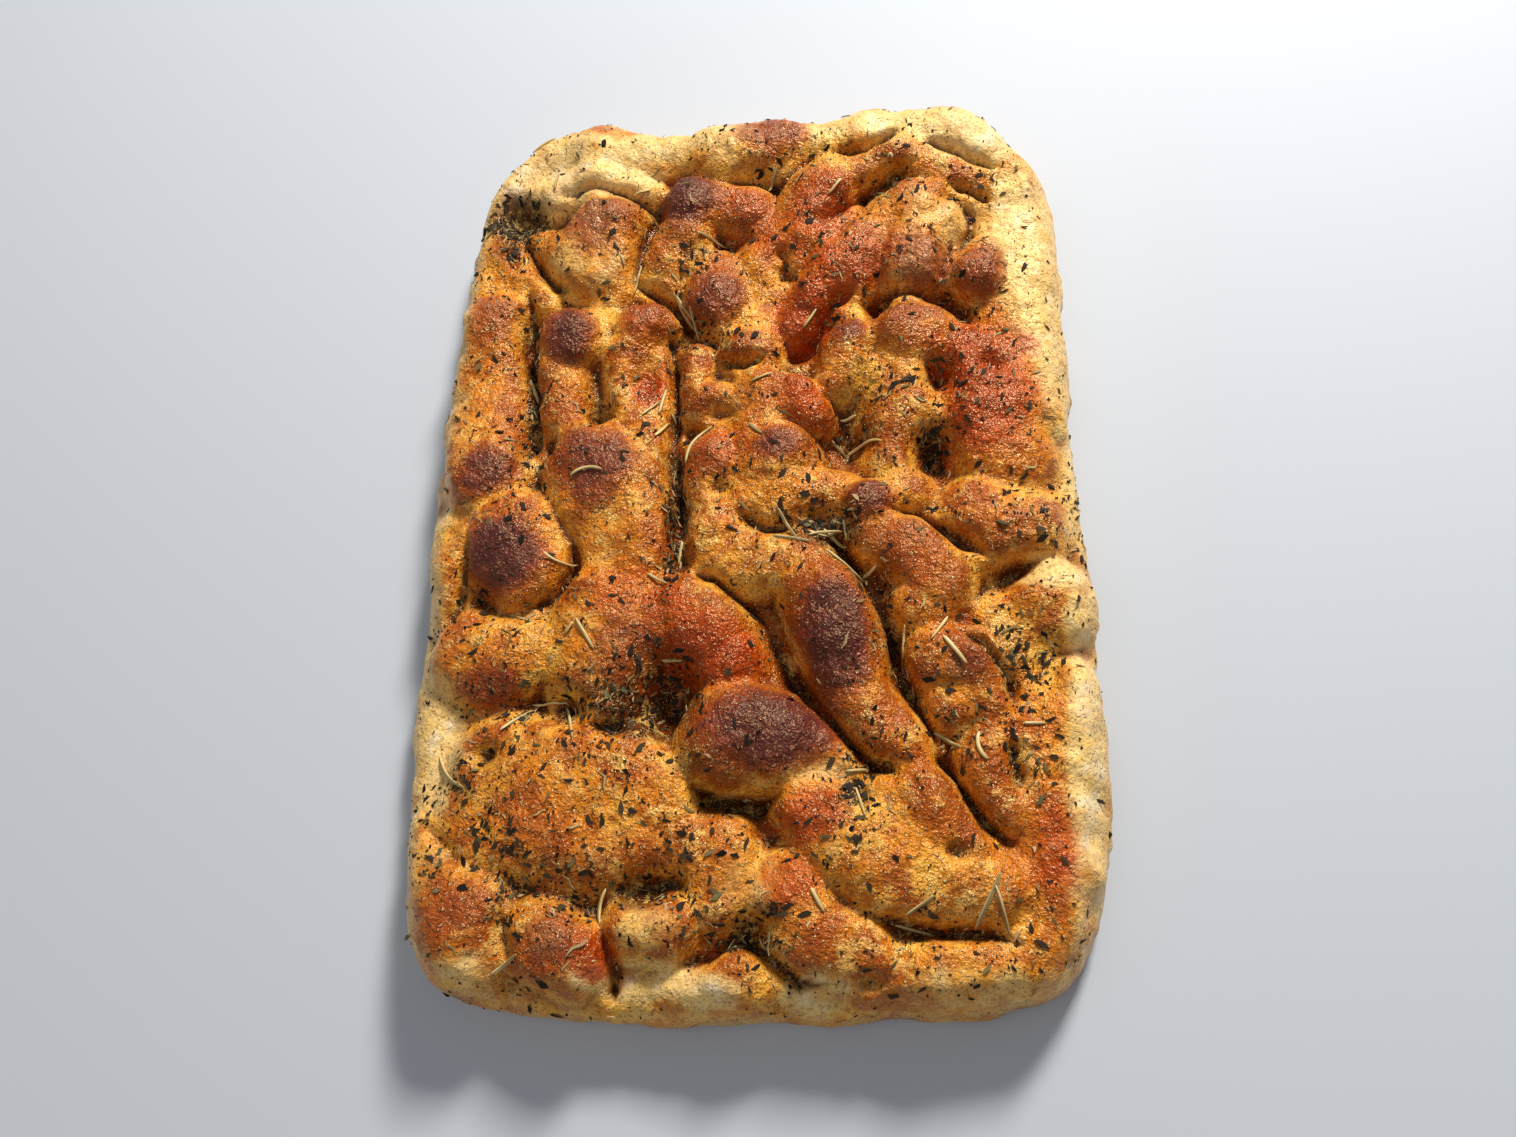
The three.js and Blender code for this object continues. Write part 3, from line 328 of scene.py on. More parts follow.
NEEDLES = [
    Needle(-94, 157, -84, 162, 0), Needle(-81, 143, -81, 133, 0), Needle(-49, 129, -42, 131, 0),
    Needle(-51, 97, -50, 93, 0), Needle(-44, 96, -47, 84, 0), Needle(-31, 83, -22, 70, 0),
    Needle(-30, 81, -20, 66, 1), Needle(-24, 75, -21, 64, 0), Needle(-21, 106, -11, 107, 0),
    Needle(9, 138, 5, 129, 0), Needle(34, 126, 29, 120, 0), Needle(54, 136, 52, 136, 1.5),
    Needle(24, 71, 19, 64, 0), Needle(8, 42, 0, 39, 0), Needle(-63, 2, -51, 3, -2),
    Needle(-86, 50, -82, 40, 0), Needle(-40, 28, -34, 35, 0), Needle(-34, 30, -32, 41, 0),
    Needle(-30, 32, -29, 29, 0), Needle(-34, 19, -31, 28, 0), Needle(-23, 9, -14, 24, -2),
    Needle(29, 21, 34, 17, 0), Needle(34, 17, 47, 15, -2), Needle(32, 29, 38, 30, 0),
    Needle(0, 22, 5, 17, 0), Needle(10, -10, 18, -24, 0), Needle(9, -21, 22, -24, 0),
    Needle(21, -18, 31, -17, 1.5), Needle(26, -16, 34, -23, 0), Needle(27, -27, 40, -36, 0),
    Needle(44, -31, 39, -34, 0), Needle(-70, -27, -60, -28, 2), Needle(-57, -51, -50, -62, 0),
    Needle(-58, -52, -61, -56, 0), Needle(-24, -19, -25, -28, 0), Needle(-34, -34, -27, -38, 0),
    Needle(53, -53, 52, -64, 0), Needle(67, -51, 61, -60, 0), Needle(65, -59, 72, -69, 0),
    Needle(75, -90, 77, -99, 1.5), Needle(61, -89, 69, -94, 0), Needle(89, -87, 96, -87, 0),
    Needle(-81, -88, -73, -79, 0), Needle(-74, -77, -60, -78, 0), Needle(-104, -95, -91, -107, 2),
    Needle(-61, -79, -56, -91, 0), Needle(-29, -63, -21, -65, 0), Needle(22, -138, 26, -145, 0),
    Needle(50, -146, 59, -140, 0), Needle(71, -149, 79, -133, 0), Needle(77, -137, 81, -151, 0),
    Needle(-77, -164, -68, -158, 0), Needle(-43, -138, -44, -149, 1.5), Needle(33, -102, 40, -101, 0),
    Needle(36, -107, 39, -117, 0), Needle(47, -148, 59, -151, 0), Needle(21, -20, 33, -18, -1.5),
    Needle(33, -14, 34, -22, 0), Needle(26, -16, 33, -22, 0),
]


# ---------------------------------------------------------------------------------------------------
# Maths
# ---------------------------------------------------------------------------------------------------


def smoothstep(low: float, high: float, value: Array) -> Array:
    """An S-shaped step from 0 at low to 1 at high."""
    t = np.clip((value - low) / (high - low), 0.0, 1.0)
    return t * t * (3.0 - 2.0 * t)


def blend(first: Array, second: Array, amount: Array) -> Array:
    """Mixes two colours, or rows of colours, by an amount for each row."""
    return first + (second - first) * amount[:, None]


def srgb(code: str) -> Array:
    """The colour of a hex code such as c98a3f, as display values from 0 to 1."""
    return np.array([int(code[i : i + 2], 16) for i in (0, 2, 4)]) / 255.0


def linear(colour: Array) -> Array:
    """Display values turned into the light values that shaders use."""
    curve = ((np.maximum(colour, 0.0) + 0.055) / 1.055) ** 2.4
    return np.where(colour <= 0.04045, colour / 12.92, curve)


def tint(code: str) -> tuple[float, float, float, float]:
    """A hex code as a shader colour."""
    return (*linear(srgb(code)).tolist(), 1.0)


class Grain:
    """Smooth random values in space, the same on every run."""

    SIDE = 64

    def __init__(self, seed: int) -> None:
        """Fills the lattice.

        Args:
            seed: Picks the pattern.
        """
        self.table = np.random.default_rng(seed).uniform(-1.0, 1.0, (self.SIDE,) * 3)

    def at(self, points: Array, size: float) -> Array:
        """Values at points.

        Args:
            points: Rows of x, y, z in millimetres.
            size: Size of one lump in millimetres.

        Returns:
            A value from about -1 to 1 for each row.
        """
        scaled = points / size
        cell = np.floor(scaled).astype(int)
        part = scaled - cell
        part = part * part * (3.0 - 2.0 * part)
        total = np.zeros(len(points))
        for corner in np.ndindex(2, 2, 2):
            weight = np.prod(np.where(corner, part, 1.0 - part), axis=1)
            index = (cell + corner) % self.SIDE
            total += weight * self.table[index[:, 0], index[:, 1], index[:, 2]]
        return total

    def layered(self, points: Array, size: float, layers: int) -> Array:
        """Several layers of ever finer lumps, each half as strong as the one before."""
        return sum(self.at(points + 31.7 * k, size / 2**k) / 2**k for k in range(layers))


def distance_to_line(x: Array, y: Array, a: Sequence[float], b: Sequence[float]) -> tuple[Array, Array]:
    """Distance from points to a straight stretch.

    Args:
        x: Across, for each point.
        y: Along, for each point.
        a: Start of the stretch, x and y first.
        b: End of the stretch, x and y first.

    Returns:
        The distance, and how far along the stretch the nearest place lies, from 0 to 1.
    """
    dx = b[0] - a[0]
    dy = b[1] - a[1]
    t = np.clip(((x - a[0]) * dx + (y - a[1]) * dy) / (dx * dx + dy * dy), 0.0, 1.0)
    return np.hypot(x - a[0] - t * dx, y - a[1] - t * dy), t


def stretches(knots: Sequence[Sequence[float]]) -> list[tuple[Sequence[float], Sequence[float]]]:
    """The straight stretches of a chain of knots; a lone knot gives one very short stretch.

    Args:
        knots: The knots, x and y first.

    Returns:
        The start and end of each stretch.
    """
    if len(knots) == 1:
        only = knots[0]
        return [(only, (only[0] + TINY, *only[1:]))]
    return list(zip(knots[:-1], knots[1:]))


# ---------------------------------------------------------------------------------------------------
# Shader graphs
# ---------------------------------------------------------------------------------------------------


class Wire:
    """One output in a material's graph. Arithmetic on it adds Math nodes."""

    def __init__(self, graph: "Graph", socket: bpy.types.NodeSocket) -> None:
        """Wraps a node's output socket."""
        self.graph = graph
        self.socket = socket

    def __add__(self, other: Any) -> "Wire":
        """Sum."""
        return self.graph.math("ADD", self, other)

    __radd__ = __add__

    def __mul__(self, other: Any) -> "Wire":
        """Product."""
        return self.graph.math("MULTIPLY", self, other)

    __rmul__ = __mul__

    def __sub__(self, other: Any) -> "Wire":
        """Difference."""
        return self.graph.math("SUBTRACT", self, other)

    def __rsub__(self, other: Any) -> "Wire":
        """Difference from a number."""
        return self.graph.math("SUBTRACT", other, self)

    def clamp(self) -> "Wire":
        """The value kept between 0 and 1."""
        return self.graph.node("ShaderNodeClamp", {}, {"Value": self}, "Result")

    def step(self, low: float, high: float) -> "Wire":
        """An S-shaped step.

        Args:
            low: Where it is 0.
            high: Where it is 1.

        Returns:
            The step.
        """
        settings = {"interpolation_type": "SMOOTHSTEP"}
        inputs = {0: self, 1: low, 2: high, 3: 0.0, 4: 1.0}
        return self.graph.node("ShaderNodeMapRange", settings, inputs, 0)


class Graph:
    """A material's node graph, built from Python expressions."""

    WANDER_SCALE = 450.0
    UNEVEN = 0.9

    def __init__(self, name: str) -> None:
        """Starts an empty material with an output node.

        Args:
            name: The material's name.
        """
        self.material = bpy.data.materials.new(name)
        self.material.use_nodes = True
        self.tree = self.material.node_tree
        self.tree.nodes.clear()
        self.output = self.tree.nodes.new("ShaderNodeOutputMaterial")

    def node(self, kind: str, settings: dict[str, Any], inputs: dict[Any, Any], output: Any = 0) -> Wire:
        """Adds a node.

        Args:
            kind: The node's type.
            settings: Properties of the node, set first.
            inputs: Values or wires, by socket name or number.
            output: Name or number of the output wanted.

        Returns:
            The wanted output.
        """
        added = self.tree.nodes.new(kind)
        for key, value in settings.items():
            setattr(added, key, value)
        for key, value in inputs.items():
            self.feed(added.inputs[key], value)
        return Wire(self, added.outputs[output])

    def feed(self, socket: bpy.types.NodeSocket, value: Any) -> None:
        """Sets a socket to a value, or links a wire to it.

        Args:
            socket: The input socket.
            value: A value or a wire.
        """
        if isinstance(value, Wire):
            self.tree.links.new(value.socket, socket)
        else:
            socket.default_value = value

    def math(self, operation: str, *values: Any) -> Wire:
        """A Math node on one to three values."""
        return self.node("ShaderNodeMath", {"operation": operation}, dict(enumerate(values)))

    def mix(self, amount: Any, first: Any, second: Any) -> Wire:
        """Mixes two colours.

        Args:
            amount: How much of the second, from 0 to 1.
            first: A colour or a wire.
            second: A colour or a wire.

        Returns:
            The mixed colour.
        """
        settings = {"data_type": "RGBA", "blend_type": "MIX", "clamp_factor": True}
        return self.node("ShaderNodeMix", settings, {0: amount, 6: first, 7: second}, 2)

    def place(self, wander_mm: float = 0.0) -> Wire:
        """Where each point lies in the object, in metres.

        Args:
            wander_mm: How far the place wanders at random, so that round shapes turn uneven.

        Returns:
            The place.
        """
        here = self.node("ShaderNodeTexCoord", {}, {}, "Object")
        if not wander_mm:
            return here
        inputs = {"Vector": here, "Scale": self.WANDER_SCALE, "Detail": 1.0}
        push = self.node("ShaderNodeTexNoise", {}, inputs, "Color")
        inputs = {0: push, "Scale": wander_mm * MM}
        pull = self.node("ShaderNodeVectorMath", {"operation": "SCALE"}, inputs)
        return self.node("ShaderNodeVectorMath", {"operation": "ADD"}, {0: here, 1: pull})

    def painted(self, name: str, output: str = "Fac") -> Wire:
        """A value or Color painted on the mesh."""
        return self.node("ShaderNodeAttribute", {"attribute_name": name}, {}, output)

    def noise(self, size_mm: float, detail: float = 2.0, roughness: float = 0.5) -> Wire:
        """Cloudy noise.

        Args:
            size_mm: Size of its lumps.
            detail: How many finer layers it has.
            roughness: How strong the finer layers are.

        Returns:
            A value from 0 to 1.
        """
        inputs = {"Vector": self.place(), "Scale": 1.0 / (size_mm * MM)}
        inputs |= {"Detail": detail, "Roughness": roughness}
        return self.node("ShaderNodeTexNoise", {}, inputs, "Fac")

    def cells(self, size_mm: float, output: str = "Distance") -> Wire:
        """Cells of about that size: the distance from each cell's middle, or its random Color."""
        inputs = {"Vector": self.place(self.UNEVEN * size_mm), "Scale": 1.0 / (size_mm * MM)}
        return self.node("ShaderNodeTexVoronoi", {"feature": "F1"}, inputs, output)

    def dice(self, size_mm: float, channel: str) -> Wire:
        """A random value from 0 to 1 for each cell of that size."""
        return self.node("ShaderNodeSeparateColor", {}, {"Color": self.cells(size_mm, "Color")}, channel)

    def bump(self, height: Wire, depth_mm: float, below: Wire | None = None) -> Wire:
        """A bumpy normal from a height.

        Args:
            height: Height from 0 to 1.
            depth_mm: Height of a full step, in millimetres.
            below: A normal to build on.

        Returns:
            The normal.
        """
        inputs: dict[str, Any] = {"Height": height, "Distance": depth_mm * MM, "Strength": 1.0}
        if below is not None:
            inputs["Normal"] = below
        return self.node("ShaderNodeBump", {}, inputs, "Normal")

    def surface(self, **inputs: Any) -> bpy.types.Material:
        """Finishes the material.

        Args:
            **inputs: Principled BSDF inputs, with _ for a space.

        Returns:
            The material.
        """
        named = {key.replace("_", " "): value for key, value in inputs.items()}
        shader = self.node("ShaderNodeBsdfPrincipled", {}, named, "BSDF")
        self.tree.links.new(shader.socket, self.output.inputs["Surface"])
        return self.material


# ---------------------------------------------------------------------------------------------------
# Finishes
# ---------------------------------------------------------------------------------------------------


@dataclass(frozen=True)
class CrustTones:
    """Colours of the baked crust, as hex codes."""

    golden: str = "d87c16"
    yellow: str = "eeac3c"
    amber: str = "a84a04"
    pale: str = "eec880"
    cream: str = "fae9c8"
    brown: str = "92400e"
    oily: str = "924206"
    # Dark brown for painted shade in creases and pits, and for the stain and painted shadow under herb
    # clumps.
    crease: str = "3a1505"
    base: str = "a8642a"


@dataclass(frozen=True)
class CrustFinish:
    """Oiled, blistered bread crust. It reads the tones and masks painted on the loaf."""

    # The first colour below is a painted highlight; the second is for freckles and for painted shade.
    highlight_butter: str = "ffcf6a"
    freckle_and_shade: str = "9e4204"
    grit: str = "7a3004"
    brown: str = "983f0c"
    toasted: str = "742c22"
    burnt: str = "46161f"
    paprika: str = "b83a00"
    deep_paprika: str = "741600"
    blister: str = "e6ac6a"
    burnt_blister: str = "a8684e"
    ring: str = "4a1a06"
    speck: str = "241004"
    flour: str = "ffdf9e"
    skin: str = "d89a5c"
    oil: str = "ffdca8"
    blister_mm: float = 2.3
    dot_mm: float = 1.1
    pore_mm: float = 3.2
    gloss: float = 0.62

    def material(self) -> bpy.types.Material:
        """Builds the crust material.

        Returns:
            The material.
        """
        g = Graph("baked_crust")
        colour = g.painted("tone", "Color")
        burn = g.painted("burn")
        paprika = g.painted("paprika")
        papery = g.painted("papery")
        pale = g.painted("pale")
        hollow = g.painted("hollow")

        # Lumps of colour, from large to small.
        cloudy = g.noise(11.0, 3.0, 0.6) - 0.5
        mottle = g.noise(4.0, 3.0, 0.65) - 0.5
        fine = g.noise(1.5, 2.0, 0.65) - 0.5
        grainy = g.noise(0.8, 1.0, 0.5) - 0.5

        # Buttery patches painted as highlights, darker freckled patches that are partly painted shade,
        # paprika, and heat from brown to burnt.
        lit = (mottle * 1.3 + fine * 0.3 + cloudy * 1.4).step(0.0, 0.42)
        colour = g.mix(lit * (0.72 - burn * 0.5), colour, tint(self.highlight_butter))
        # Painted shade: darker freckled patches, partly real freckles.
        shade = (mottle * -1.3 - cloudy * 1.6 + fine * 0.3).step(0.0, 0.42)
        colour = g.mix(shade * (0.9 - pale * 0.65), colour, tint(self.freckle_and_shade))
        red = paprika + mottle + cloudy * 1.1 + fine * 0.4
        colour = g.mix(red.step(0.10, 0.85) * 0.85, colour, tint(self.paprika))
        colour = g.mix(red.step(0.60, 1.20) * 0.8, colour, tint(self.deep_paprika))
        heat = burn + mottle * 0.5 + fine * 0.5 + cloudy * 0.3
        colour = g.mix(heat.step(0.08, 0.55) * 0.8, colour, tint(self.brown))
        colour = g.mix(heat.step(0.35, 0.85) * 0.85, colour, tint(self.toasted))
        colour = g.mix(heat.step(0.55, 1.05) * 0.92, colour, tint(self.burnt))
        grit = (grainy * 1.3 + fine * 0.9).step(0.10, 0.26)
        colour = g.mix(grit * (0.62 - pale * 0.45), colour, tint(self.grit))

        # Small blisters with a dark ring, most of them on burnt tops.
        spots = g.cells(self.blister_mm)
        pick = g.dice(self.blister_mm, "Red")
        size = pick * 0.34 + 0.08 + fine * 0.2
        chosen = pick.step(0.10, 0.35) * (burn * 1.4 + 0.35 + cloudy).clamp()
        ring = (1.0 - g.math("ABSOLUTE", spots - size) * 9.0).clamp() * chosen
        colour = g.mix(ring * 0.7, colour, tint(self.ring))
        blistered = ((size - spots) * 8.0).clamp() * chosen
        puffed = g.mix((burn * 1.3).clamp(), tint(self.blister), tint(self.burnt_blister))
        colour = g.mix(blistered * 0.75, colour, puffed)

        # Pale dots of flour and dark specks of spice.
        dots = g.cells(self.dot_mm)
        chance = g.dice(self.dot_mm, "Green")
        small = ((chance * 0.4 - dots) * 6.0).clamp()
        floury = small * chance.step(0.50, 0.60) * (1.0 - paprika * 0.45).clamp()
        colour = g.mix(floury * (0.85 - pale * 0.5 - burn * 0.62), colour, tint(self.flour))
        dark_dots = ((0.34 - dots) * 6.0).clamp() * (1.0 - chance.step(0.10, 0.16))
        colour = g.mix(dark_dots * 0.8, colour, tint(self.speck))

        # Relief, from lumps to dots and pores.
        pores = g.cells(self.pore_mm)
        normal = g.bump((mottle * 1.1 + fine * 0.5) * (1.0 - pale * 0.55), 1.35)
        normal = g.bump(grainy * (1.0 - pale * 0.6), 0.26, normal)
        normal = g.bump(blistered, 0.6, normal)
        normal = g.bump(floury, 0.42, normal)
        normal = g.bump(pores.step(0.0, 0.5), 0.18, normal)

        colour = g.mix(papery * 0.2, colour, tint(self.skin))
        roughness = 0.29 - papery * 0.1 - cloudy * 0.5 + pale * 0.18 - hollow * 0.06 + burn * 0.12
        return g.surface(
            Base_Color=colour,
            Roughness=roughness.clamp(),
            Specular_IOR_Level=self.gloss,
            Specular_Tint=tint(self.oil),
            Normal=normal,
        )


@dataclass(frozen=True)
class HerbFinish:
    """Dried, crushed leaf. Each flake's own shade is painted on it."""

    name: str
    dark: str
    light: str
    gloss: float = 0.25

    def material(self) -> bpy.types.Material:
        """Builds the leaf material.

        Returns:
            The material.
        """
        g = Graph(self.name)
        shade = g.painted("shade")
        vein = g.noise(0.5, 2.0, 0.6)
        colour = g.mix((shade * 0.75 + (vein - 0.5) * 0.7).clamp(), tint(self.dark), tint(self.light))
        return g.surface(
            Base_Color=colour,
            Roughness=0.7 + vein * 0.2,
            Specular_IOR_Level=self.gloss,
            Normal=g.bump(vein, 0.08),
        )


@dataclass(frozen=True)
class RosemaryFinish:
    """A dried rosemary needle: olive-tan, with a pale back and a dark groove along its middle."""

    tip: str = "a88c48"
    stalk: str = "ecd292"
    groove: str = "463416"

    def material(self) -> bpy.types.Material:
        """Builds the needle material.

        Returns:
            The material.
        """
        g = Graph("dried_rosemary")
        along = g.painted("along")
        across = g.painted("groove")
        shade = g.painted("shade")
        grain = g.noise(0.7, 2.0, 0.6)
        light = (along * 0.7 + grain * 0.4 + shade * 0.35 - 0.25).clamp()
        colour = g.mix(light, tint(self.tip), tint(self.stalk))
        colour = g.mix((across * 0.75).clamp(), colour, tint(self.groove))
        return g.surface(Base_Color=colour, Roughness=0.4 + grain * 0.2, Normal=g.bump(grain, 0.1))


@dataclass(frozen=True)
class FloorFinish:
    """A plain, pale, matt floor."""

    colour: str = "bfc4cb"
    cloud: str = "c7ccd3"
    cloud_mm: float = 400.0
    roughness: float = 0.7

    def material(self) -> bpy.types.Material:
        """Builds the floor material.

        Returns:
            The material.
        """
        g = Graph("pale_floor")
        amount = g.noise(self.cloud_mm, 1.0) * 0.3
        colour = g.mix(amount, tint(self.colour), tint(self.cloud))
        return g.surface(Base_Color=colour, Roughness=self.roughness)


# ---------------------------------------------------------------------------------------------------
# Meshes
# ---------------------------------------------------------------------------------------------------


def new_piece(
    name: str, points: Array, faces: Array, material: bpy.types.Material, smooth: bool = True
) -> Any:
    """Makes a mesh object from arrays.

    Args:
        name: The object's name.
        points: Rows of x, y, z in metres.
        faces: Rows of four vertex numbers.
        material: Its material.
        smooth: Whether faces are shaded smooth.

    Returns:
        The object, linked to the scene.
    """
    mesh = bpy.data.meshes.new(name)
    mesh.vertices.add(len(points))
    mesh.vertices.foreach_set("co", points.astype(np.float32).ravel())
    mesh.loops.add(faces.size)
    mesh.loops.foreach_set("vertex_index", faces.astype(np.int32).ravel())
    mesh.polygons.add(len(faces))
    mesh.polygons.foreach_set("loop_start", np.arange(0, faces.size, faces.shape[1], dtype=np.int32))
    mesh.polygons.foreach_set("use_smooth", np.full(len(faces), smooth))
    mesh.update(calc_edges=True)
    mesh.validate()
    mesh.materials.append(material)
    piece = bpy.data.objects.new(name, mesh)
    bpy.context.scene.collection.objects.link(piece)
    return piece


def paint_value(piece: Any, name: str, values: Array) -> None:
    """Paints one value at each vertex."""
    layer = piece.data.attributes.new(name, "FLOAT", "POINT")
    layer.data.foreach_set("value", values.astype(np.float32))


def paint_colour(piece: Any, name: str, colours: Array) -> None:
    """Paints one colour at each vertex.

    Args:
        piece: The object.
        name: The name of the painted layer.
        colours: Rows of red, green and blue, as light values.
    """
    layer = piece.data.attributes.new(name, "FLOAT_COLOR", "POINT")
    full = np.concatenate([colours, np.ones((len(colours), 1))], axis=1)
    layer.data.foreach_set("color", full.astype(np.float32).ravel())


@dataclass
class Waist:
    """The loaf's outline as a polar curve about its middle."""

    knots: Sequence[tuple[float, float]]
    samples: int = 1440

    def __post_init__(self) -> None:
        """Samples the closed curve and sorts it by direction."""
        p = np.array(self.knots, float)
        count = len(p)
        t = np.arange(self.samples) * count / self.samples
        i = t.astype(int)
        f = (t - i)[:, None]
        p0, p1, p2, p3 = p[(i - 1) % count], p[i % count], p[(i + 1) % count], p[(i + 2) % count]
        bend = 2 * p0 - 5 * p1 + 4 * p2 - p3
        self.points = 0.5 * (2 * p1 + (p2 - p0) * f + bend * f**2 + (3 * p1 - p0 - 3 * p2 + p3) * f**3)
        angles = np.arctan2(self.points[:, 1], self.points[:, 0])
        order = np.argsort(angles)
        self.angles = angles[order]
        self.radii = np.hypot(*self.points.T)[order]

    def middle(self) -> Array:
        """The middle of the outline's box."""
        return (self.points.min(axis=0) + self.points.max(axis=0)) / 2

    def radius(self, angle: Array) -> Array:
        """Distance from the middle to the outline in each direction."""
        return np.interp(angle, self.angles, self.radii, period=2 * math.pi)

    def facing(self, angle: Array) -> Array:
        """How squarely the edge faces each direction.

        Args:
            angle: The directions.

        Returns:
            1 where the edge is at right angles to the ray, and less where it is slanted.
        """
        step = 0.02
        slope = (self.radius(angle + step) - self.radius(angle - step)) / (2 * step)
        return self.radius(angle) / np.hypot(self.radius(angle), slope)

    def inset(self, x: Array, y: Array) -> Array:
        """Distance of each point inside the outline."""
        angle = np.arctan2(y, x)
        return (self.radius(angle) - np.hypot(x, y)) * self.facing(angle)


@dataclass
class CrustShape:
    """The crust as a height above the board."""

    dough_height: float = 19.5
    bubble_spread: float = 1.37
    bubble_blend: float = 1.45
    thinnest: float = 9.0
    thin_blend: float = 4.0
    wander: float = 1.5
    deepest_fall: float = 3.0
    fold_sharpness: float = 1.4
    dimple_sharpness: float = 1.1

    def bubble(self, x: Array, y: Array, knots: Sequence[Sequence[float]]) -> Array:
        """Height of one bubble at each point: a dome that steepens towards its foot.

        Args:
            x: Across, in millimetres.
            y: Along, in millimetres.
            knots: The bubble's x, y, radius and crest height along its length.

        Returns:
            Height in millimetres.
        """
        best = np.full(x.shape, -math.inf)
        for a, b in stretches(knots):
            distance, t = distance_to_line(x, y, a, b)
            radius = (a[2] + (b[2] - a[2]) * t) * self.bubble_spread
            crest = a[3] + (b[3] - a[3]) * t
            u2 = (distance / radius) ** 2
            fall = np.minimum(0.4 * u2 + 0.6 * u2 * u2, self.deepest_fall)
            best = np.maximum(best, crest - (crest - self.dough_height) * fall)
        return best

    def fold(self, x: Array, y: Array, half_width: float, path: Sequence[Sequence[float]]) -> Array:
        """How deep a fold is at each point, from 0 to 1: it narrows and fades at both ends.

        Args:
            x: Across, in millimetres.
            y: Along, in millimetres.
            half_width: Its half width in the middle.
            path: The line it follows.

        Returns:
            Depth as a part of the fold's full depth.
        """
        pieces = stretches(path)
        near = np.full(x.shape, math.inf)
        share = np.zeros(x.shape)
        for number, (a, b) in enumerate(pieces):
            distance, t = distance_to_line(x, y, a, b)
            closer = distance < near
            near = np.where(closer, distance, near)
            share = np.where(closer, (number + t) / len(pieces), share)
        fade = np.clip(4.0 * np.minimum(share, 1.0 - share) + 0.15, 0.0, 1.0)
        return fade * np.exp(-((near / (half_width * (0.5 + 0.5 * fade))) ** self.fold_sharpness))

    def height(self, x: Array, y: Array) -> Array:
        """Height of the crust at each point, before the edge is rounded over.

        Args:
            x: Across, in millimetres.
            y: Along, in millimetres.

        Returns:
            Height in millimetres.
        """
        wx = x + self.wander * np.sin(y / 9 + 0.7) * np.cos(x / 13)
        wy = y + self.wander * np.sin(x / 8 + 1.9) * np.cos(y / 12)
        total = np.full(x.shape, math.exp(self.dough_height / self.bubble_blend))
        for knots in BUBBLES.values():
            total += np.exp(self.bubble(wx, wy, knots) / self.bubble_blend)
        height = self.bubble_blend * np.log(total)
        for depth, half_width, path in FOLDS.values():
            height -= depth * self.fold(x, y, half_width, path)
        for cx, cy, rx, ry, depth in DIMPLES.values():
            height -= depth * np.exp(-self.dimple_sharpness * (((x - cx) / rx) ** 2 + ((y - cy) / ry) ** 2))
        soft = self.thinnest + self.thin_blend
        sunk = self.thinnest + self.thin_blend * np.exp(np.minimum(height - soft, 0.0) / self.thin_blend)
        return np.where(height < soft, sunk, height)


